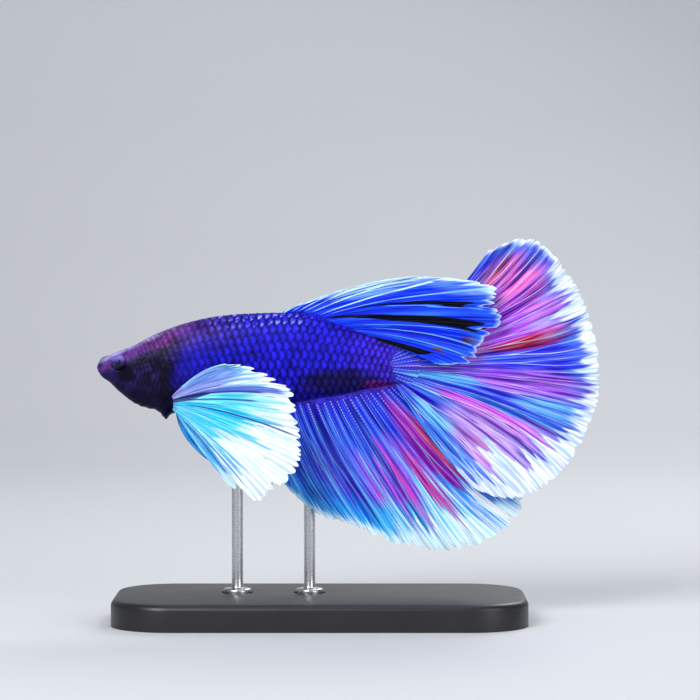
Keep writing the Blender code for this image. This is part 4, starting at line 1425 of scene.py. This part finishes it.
pectoralLook = {
    **plainLook,
    "seed": 31.0, "deep": (104, 200, 240), "mid": (160, 226, 248), "light": whiteLift,
    "shade": (96, 150, 220), "foldShare": 0.35, "creaseShare": 0.6, "lineShare": 0.35,
    "line": white, "strokeBreak": 0.15, "strokeSoft": 0.08, "rootTo": 0.05, "rootShare": 0.4,
    "root": (90, 70, 170), "edgeColor": (248, 252, 255), "edgeTint": (206, 234, 250),
    "mist": (190, 240, 252), "mistShare": 0.6,
    "edge": ((0.0, 0.03), (1.0, 0.26), (0.12, 0.08), (0.26, 0.22), (0.36, 0.12), (0.48, 0.28),
             (0.62, 0.5), (0.82, 0.6), (0.92, 0.44)),
    "washes": (
        ((0.14, 0.5), (0.22, 0.52), 0.9, 0.3, (116, 148, 230)),
        ((0.2, 0.3), (0.14, 0.34), 0.6, 0.7, (138, 116, 208)),
        ((0.48, 0.34), (0.26, 0.52), 1.0, 0.3, (30, 218, 238)),
        ((0.8, 0.26), (0.26, 0.44), 0.95, 0.4, (40, 212, 236)),
        ((0.95, 0.44), (0.1, 0.62), 0.95, 0.3, (30, 200, 238)),
        ((1.0, 0.5), (0.035, 0.5), 0.9, 0.1, (60, 196, 240)),
        ((0.03, 0.06), (0.2, 0.14), 0.9, 0.2, (160, 130, 216)),
    ),
    "strokes": (
        ((0.27, 0.03), (0.3, 0.96), 0.03, 0.017, 0.85, (84, 84, 200)),
        ((0.285, 0.05), (0.315, 0.8), 0.012, 0.005, 0.9, (44, 30, 130)),
        ((0.22, 0.03), (0.23, 0.55), 0.014, 0.006, 0.7, (104, 70, 170)),
        ((0.15, 0.05), (0.16, 0.7), 0.01, 0.006, 0.6, (120, 120, 206)),
        ((0.37, 0.08), (0.36, 0.72), 0.012, 0.005, 0.9, (20, 74, 170)),
        ((0.42, 0.05), (0.425, 0.45), 0.01, 0.004, 0.8, (16, 90, 180)),
        ((0.47, 0.1), (0.49, 0.97), 0.01, 0.0045, 0.95, (14, 60, 150)),
        ((0.58, 0.06), (0.59, 0.5), 0.012, 0.004, 0.7, (20, 100, 190)),
        ((0.7, 0.06), (0.72, 0.55), 0.012, 0.004, 0.6, (30, 120, 200)),
        ((0.9, 0.1), (0.9, 0.9), 0.008, 0.006, 0.8, (20, 80, 180)),
        ((0.05, -0.05), (0.06, 0.09), 0.045, 0.02, 0.9, (186, 150, 224)),
        ((0.15, -0.05), (0.15, 0.11), 0.035, 0.015, 0.9, (176, 140, 216)),
        ((0.25, -0.05), (0.24, 0.08), 0.035, 0.012, 0.8, (150, 112, 200)),
        ((0.34, -0.06), (0.29, 0.36), 0.1, 0.008, 0.95, (40, 22, 96)),
    ),
}
nearPelvicLook = {
    **plainLook,
    "seed": 41.0, "deep": (50, 190, 245), "mid": (100, 228, 250), "light": whiteLift,
    "shade": (70, 140, 220), "darkShare": 0.6, "lineShare": 0.5, "line": white,
    "root": (30, 40, 150), "edgeColor": white, "edgeTint": (190, 236, 252), "mist": cyan,
    "mistShare": 0.3,
    "edge": ((0.0, 0.22), (1.0, 0.18)),
}
farPelvicLook = {
    **plainLook,
    "seed": 43.0, "deep": (14, 96, 224), "mid": (40, 165, 245), "light": blueLift,
    "shade": (40, 50, 150), "lightShare": 0.5, "darkShare": 0.6, "lineShare": 0.3,
    "line": (150, 220, 255), "root": (24, 60, 190), "hem": 0.3, "edgeColor": (120, 170, 255),
    "edgeTint": (60, 80, 220), "mist": azure, "mistShare": 0.2,
    "edge": ((0.0, 0.03), (1.0, 0.03)),
    "washes": (
        ((0.6, 0.95), (0.7, 0.25), 0.9, 0.2, (30, 30, 150)),
    ),
}


# stand

standValues = {
    "corner": 9.0, "bevel": 0.9, "seatDepth": 1.5, "seatRadius": 2.4,
    "baseColours": ((24, 24, 27), (40, 40, 44)),
    "rodRadius": 0.85, "rodShort": 0.9,  # how far under its node's top a rod ends
    "footRound": 0.35, "footBevel": 0.15, "footShoulder": 1.5,
    "fillet": ((0.3, 1.85), (0.08, 1.95), (0.0, 2.15)),  # out from the rod, up from the underside
    "rodColours": ((176, 178, 182), (212, 213, 216)),
}


def bevelWhere(obj, wanted, offset, segments):
    # bevels each edge whose two ends are wanted
    pick(obj)
    setMode("EDIT")
    bpy.ops.mesh.select_mode(type="EDGE")
    bpy.ops.mesh.select_all(action="DESELECT")
    setMode("OBJECT")
    for edge in obj.data.edges:
        edge.select = wanted(*(obj.data.vertices[i].co.z for i in edge.vertices))
    setMode("EDIT")
    bpy.ops.mesh.bevel(offset=offset * mm, segments=segments)
    setMode("OBJECT")


def makeBase(material):
    s = standValues
    low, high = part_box("stand_base")
    deselect()
    bpy.ops.mesh.primitive_cube_add(size=1.0, location=(low + high) / 2, scale=high - low)
    base = takeNew("standBase")
    applyPlace(base)
    # round the four upright edges, then soften the top one
    bevelWhere(base, lambda a, b: abs(a - b) > mm, s["corner"], 16)
    bevelWhere(base, lambda a, b: min(a, b) > high.z - mm / 100, s["bevel"], 4)
    # seats for the rods' feet
    for node in ("stand_rod_front", "stand_rod_rear"):
        footLow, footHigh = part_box(node)
        middle = (footLow + footHigh) / 2
        deselect()
        bpy.ops.mesh.primitive_cylinder_add(vertices=64, radius=s["seatRadius"] * mm,
                                            depth=2 * s["seatDepth"] * mm,
                                            location=(middle.x, middle.y, high.z))
        cutter = takeNew("seatCutter")
        cut = base.modifiers.new("seat", "BOOLEAN")
        cut.operation = "DIFFERENCE"
        cut.object = cutter
        applyModifiers(base)
        bpy.data.objects.remove(cutter)
    smoothShade(base, 35)
    return settle(base, ("stand_base",), material)


def makeRod(name, node, material):
    # a slim rod on a turned foot, spun from its profile
    s = standValues
    low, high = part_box(node)
    rod, foot = s["rodRadius"], (high.x - low.x) / 2 / mm
    bottom, top = low.z / mm, high.z / mm - s["rodShort"]
    bevel, turn, shoulder = s["footBevel"], s["footRound"], bottom + s["footShoulder"]
    # radius and height from the underside up: round-edged foot, fillet, rod, domed end
    profile = [(0.0, bottom), (foot - bevel, bottom), (foot, bottom + bevel), (foot, shoulder - 0.05)]
    profile += [(foot - turn + turn * math.cos(a), shoulder + turn * math.sin(a))
                for a in np.linspace(0.2, math.pi / 2, 6)]
    profile += [(rod + out, bottom + up) for out, up in s["fillet"]]
    profile += [(rod, z) for z in np.linspace(bottom + 4, top, 10)]
    profile += [(rod * math.cos(a), top - rod + rod * math.sin(a)) for a in np.linspace(0, 1.4, 6)]
    profile += [(0.0, top)]
    points = [(r * mm, 0, z * mm) for r, z in profile]
    obj = fromLists(name, points, [(i, i + 1) for i in range(len(points) - 1)], [])
    spin = obj.modifiers.new("spin", "SCREW")
    spin.steps = spin.render_steps = 48
    spin.use_merge_vertices = True
    spin.merge_threshold = 1e-6
    applyModifiers(obj)
    obj.location = ((low.x + high.x) / 2, (low.y + high.y) / 2, 0)
    applyPlace(obj)
    outside(obj)
    smoothShade(obj, 40)
    return settle(obj, (node,), material)


def makeBaseMaterial():
    material, shader = newMaterial("satinBlack")
    place = objectPlace(shader)
    grain, dust = noise(place, 2600, 4), noise(place, 140, 4)
    feed(shader, {"Base Color": lay(*standValues["baseColours"], fade(dust, 0.4, 0.75, 0.0, 0.2)),
                  "Roughness": fade(dust, 0.3, 0.7, 0.38, 0.42)})
    addBump(shader, grain, 0.25, 0.00004)
    return material


def makeRodMaterial():
    material, shader = newMaterial("brushedRod")
    inputs = {"Vector": objectPlace(shader), "Scale": (1, 1, 14)}
    lines = noise(addNode("ShaderNodeMapping", inputs).outputs[0], 1300, 3)
    feed(shader, {"Base Color": lay(*standValues["rodColours"], fade(lines, 0.3, 0.7)),
                  "Roughness": fade(lines, 0.3, 0.7, 0.22, 0.36), "Metallic": 1.0})
    addBump(shader, lines, 0.2, 0.00002)
    return material


# floor, backdrop and soft studio light

stageValues = {
    "floorFront": -1600.0, "floorBack": 330.0, "bend": 160.0, "wall": 700.0, "side": 2600.0,
    "colour": (206, 209, 214),
    "world": (0.93, 0.95, 1.0, 1.0),
    "worldPower": 0.22,
    "aim": (0, 0, 36),
    "lights": (("keyLight", (-230, -420, 330), 260, 2.7), ("fillLight", (380, -360, 190), 300, 0.9),
               ("topLight", (40, 60, 460), 300, 0.6), ("rimLight", (160, 300, 300), 200, 0.7)),
}


def makeStage():
    s = stageValues
    cyc = addGrid("backdrop", 2, 60)
    x, t = getPoints(cyc)[:, :2].T
    flat, bend = s["floorBack"] - s["floorFront"], s["bend"]
    run = (t + 0.5) * (flat + bend * math.pi / 2 + s["wall"])
    turn = np.clip((run - flat) / bend, 0, math.pi / 2)
    y = s["floorFront"] + np.minimum(run, flat) + bend * np.sin(turn)
    z = bend * (1 - np.cos(turn)) + np.maximum(run - flat - bend * math.pi / 2, 0)
    setPoints(cyc, np.stack([x * 2 * s["side"], y, z], axis=1))
    smoothShade(cyc)
    material, shader = newMaterial("paleBackdrop")
    feed(shader, {"Base Color": screenColor(s["colour"]), "Roughness": 0.85})
    cyc.data.materials.append(material)


def makeLight():
    s = stageValues
    for name, place, size, power in s["lights"]:
        turn = (Vector(s["aim"]) - Vector(place)).to_track_quat("-Z", "Y").to_euler()
        bpy.ops.object.light_add(type="AREA", location=Vector(place) * mm, rotation=turn)
        light = takeNew(name)
        light.data.energy = power
        light.data.size = size * mm
    world = bpy.data.worlds.new("studio")
    scene.world = world
    world.use_nodes = True
    feed(world.node_tree.nodes["Background"], {0: s["world"], 1: s["worldPower"]})
    scene.view_settings.view_transform = "Standard"


makeCamera()
print("stage: camera set")
makeBodyGroup()
makeRayGroup()
makeSkin(makeSkinMaterial())
print("stage: skin done")
scaleMaterial = makeScaleMaterial()
plate = shapePlate()
rng = np.random.default_rng(5)
for label, side in (("Left", -1), ("Right", 1)):
    makeScales("scales" + label, scaleSpots(side, rng), ("trunk", "tail_stalk"), scaleMaterial,
               plate, rng)
    sheath = sheathSpots(analRays, analFin, side, 0.3, 1.5, (0.50, 0.28), 0.88, rng)
    sheath += sheathSpots(dorsalRays, dorsalFin, side, 0.3, 1.6, (0.50, 0.30), 0.94, rng)
    makeScales("sheath" + label, sheath, ("tail_stalk",), scaleMaterial, plate, rng)
bpy.data.objects.remove(plate)
print("stage: scales done")
eyeMaterial = makeEyeMaterial()
makeEye("eyeLeft", "eye_left", -1, eyeMaterial)
makeEye("eyeRight", "eye_right", 1, eyeMaterial)
print("stage: eyes done")
finPieces = (
    ("dorsalFin", "dorsal_fin", dorsalRays, dorsalFin, "blue_fin", "dorsalWeb", dorsalLook),
    ("tailFin", "tail_fin", tailRays(), tailFin, "blue_fin", "tailWeb", tailLook),
    ("analFin", "anal_fin", analRays, analFin, "blue_fin", "analWeb", analLook),
    ("pectoralFinLeft", "pectoral_fin_left", leftOf(pectoralRays), pectoralFin, "pale_fin",
     "pectoralWeb", pectoralLook),
    ("pectoralFinRight", "pectoral_fin_right", pectoralRays, pectoralFin, "pale_fin",
     "pectoralWeb", pectoralLook),
    ("pelvicFinLeft", "pelvic_fin_left", leftPelvicRays, pelvicFin, "pale_fin",
     "nearPelvicWeb", nearPelvicLook),
    ("pelvicFinRight", "pelvic_fin_right", rightPelvicRays, pelvicFin, "blue_fin",
     "farPelvicWeb", farPelvicLook),
)
webs = {}
for number, (name, node, rays, fin, slotName, web, look) in enumerate(finPieces):
    if web not in webs:
        webs[web] = makeFinMaterial(web, fin, look)
    makeFin(name, node, rays, fin, webs[web], seed=number + 1)
print("stage: fins done")
makeBase(makeBaseMaterial())
rodMaterial = makeRodMaterial()
makeRod("standRodFront", "stand_rod_front", rodMaterial)
makeRod("standRodRear", "stand_rod_rear", rodMaterial)
print("stage: stand done")
makeStage()
makeLight()
print("stage: studio done")
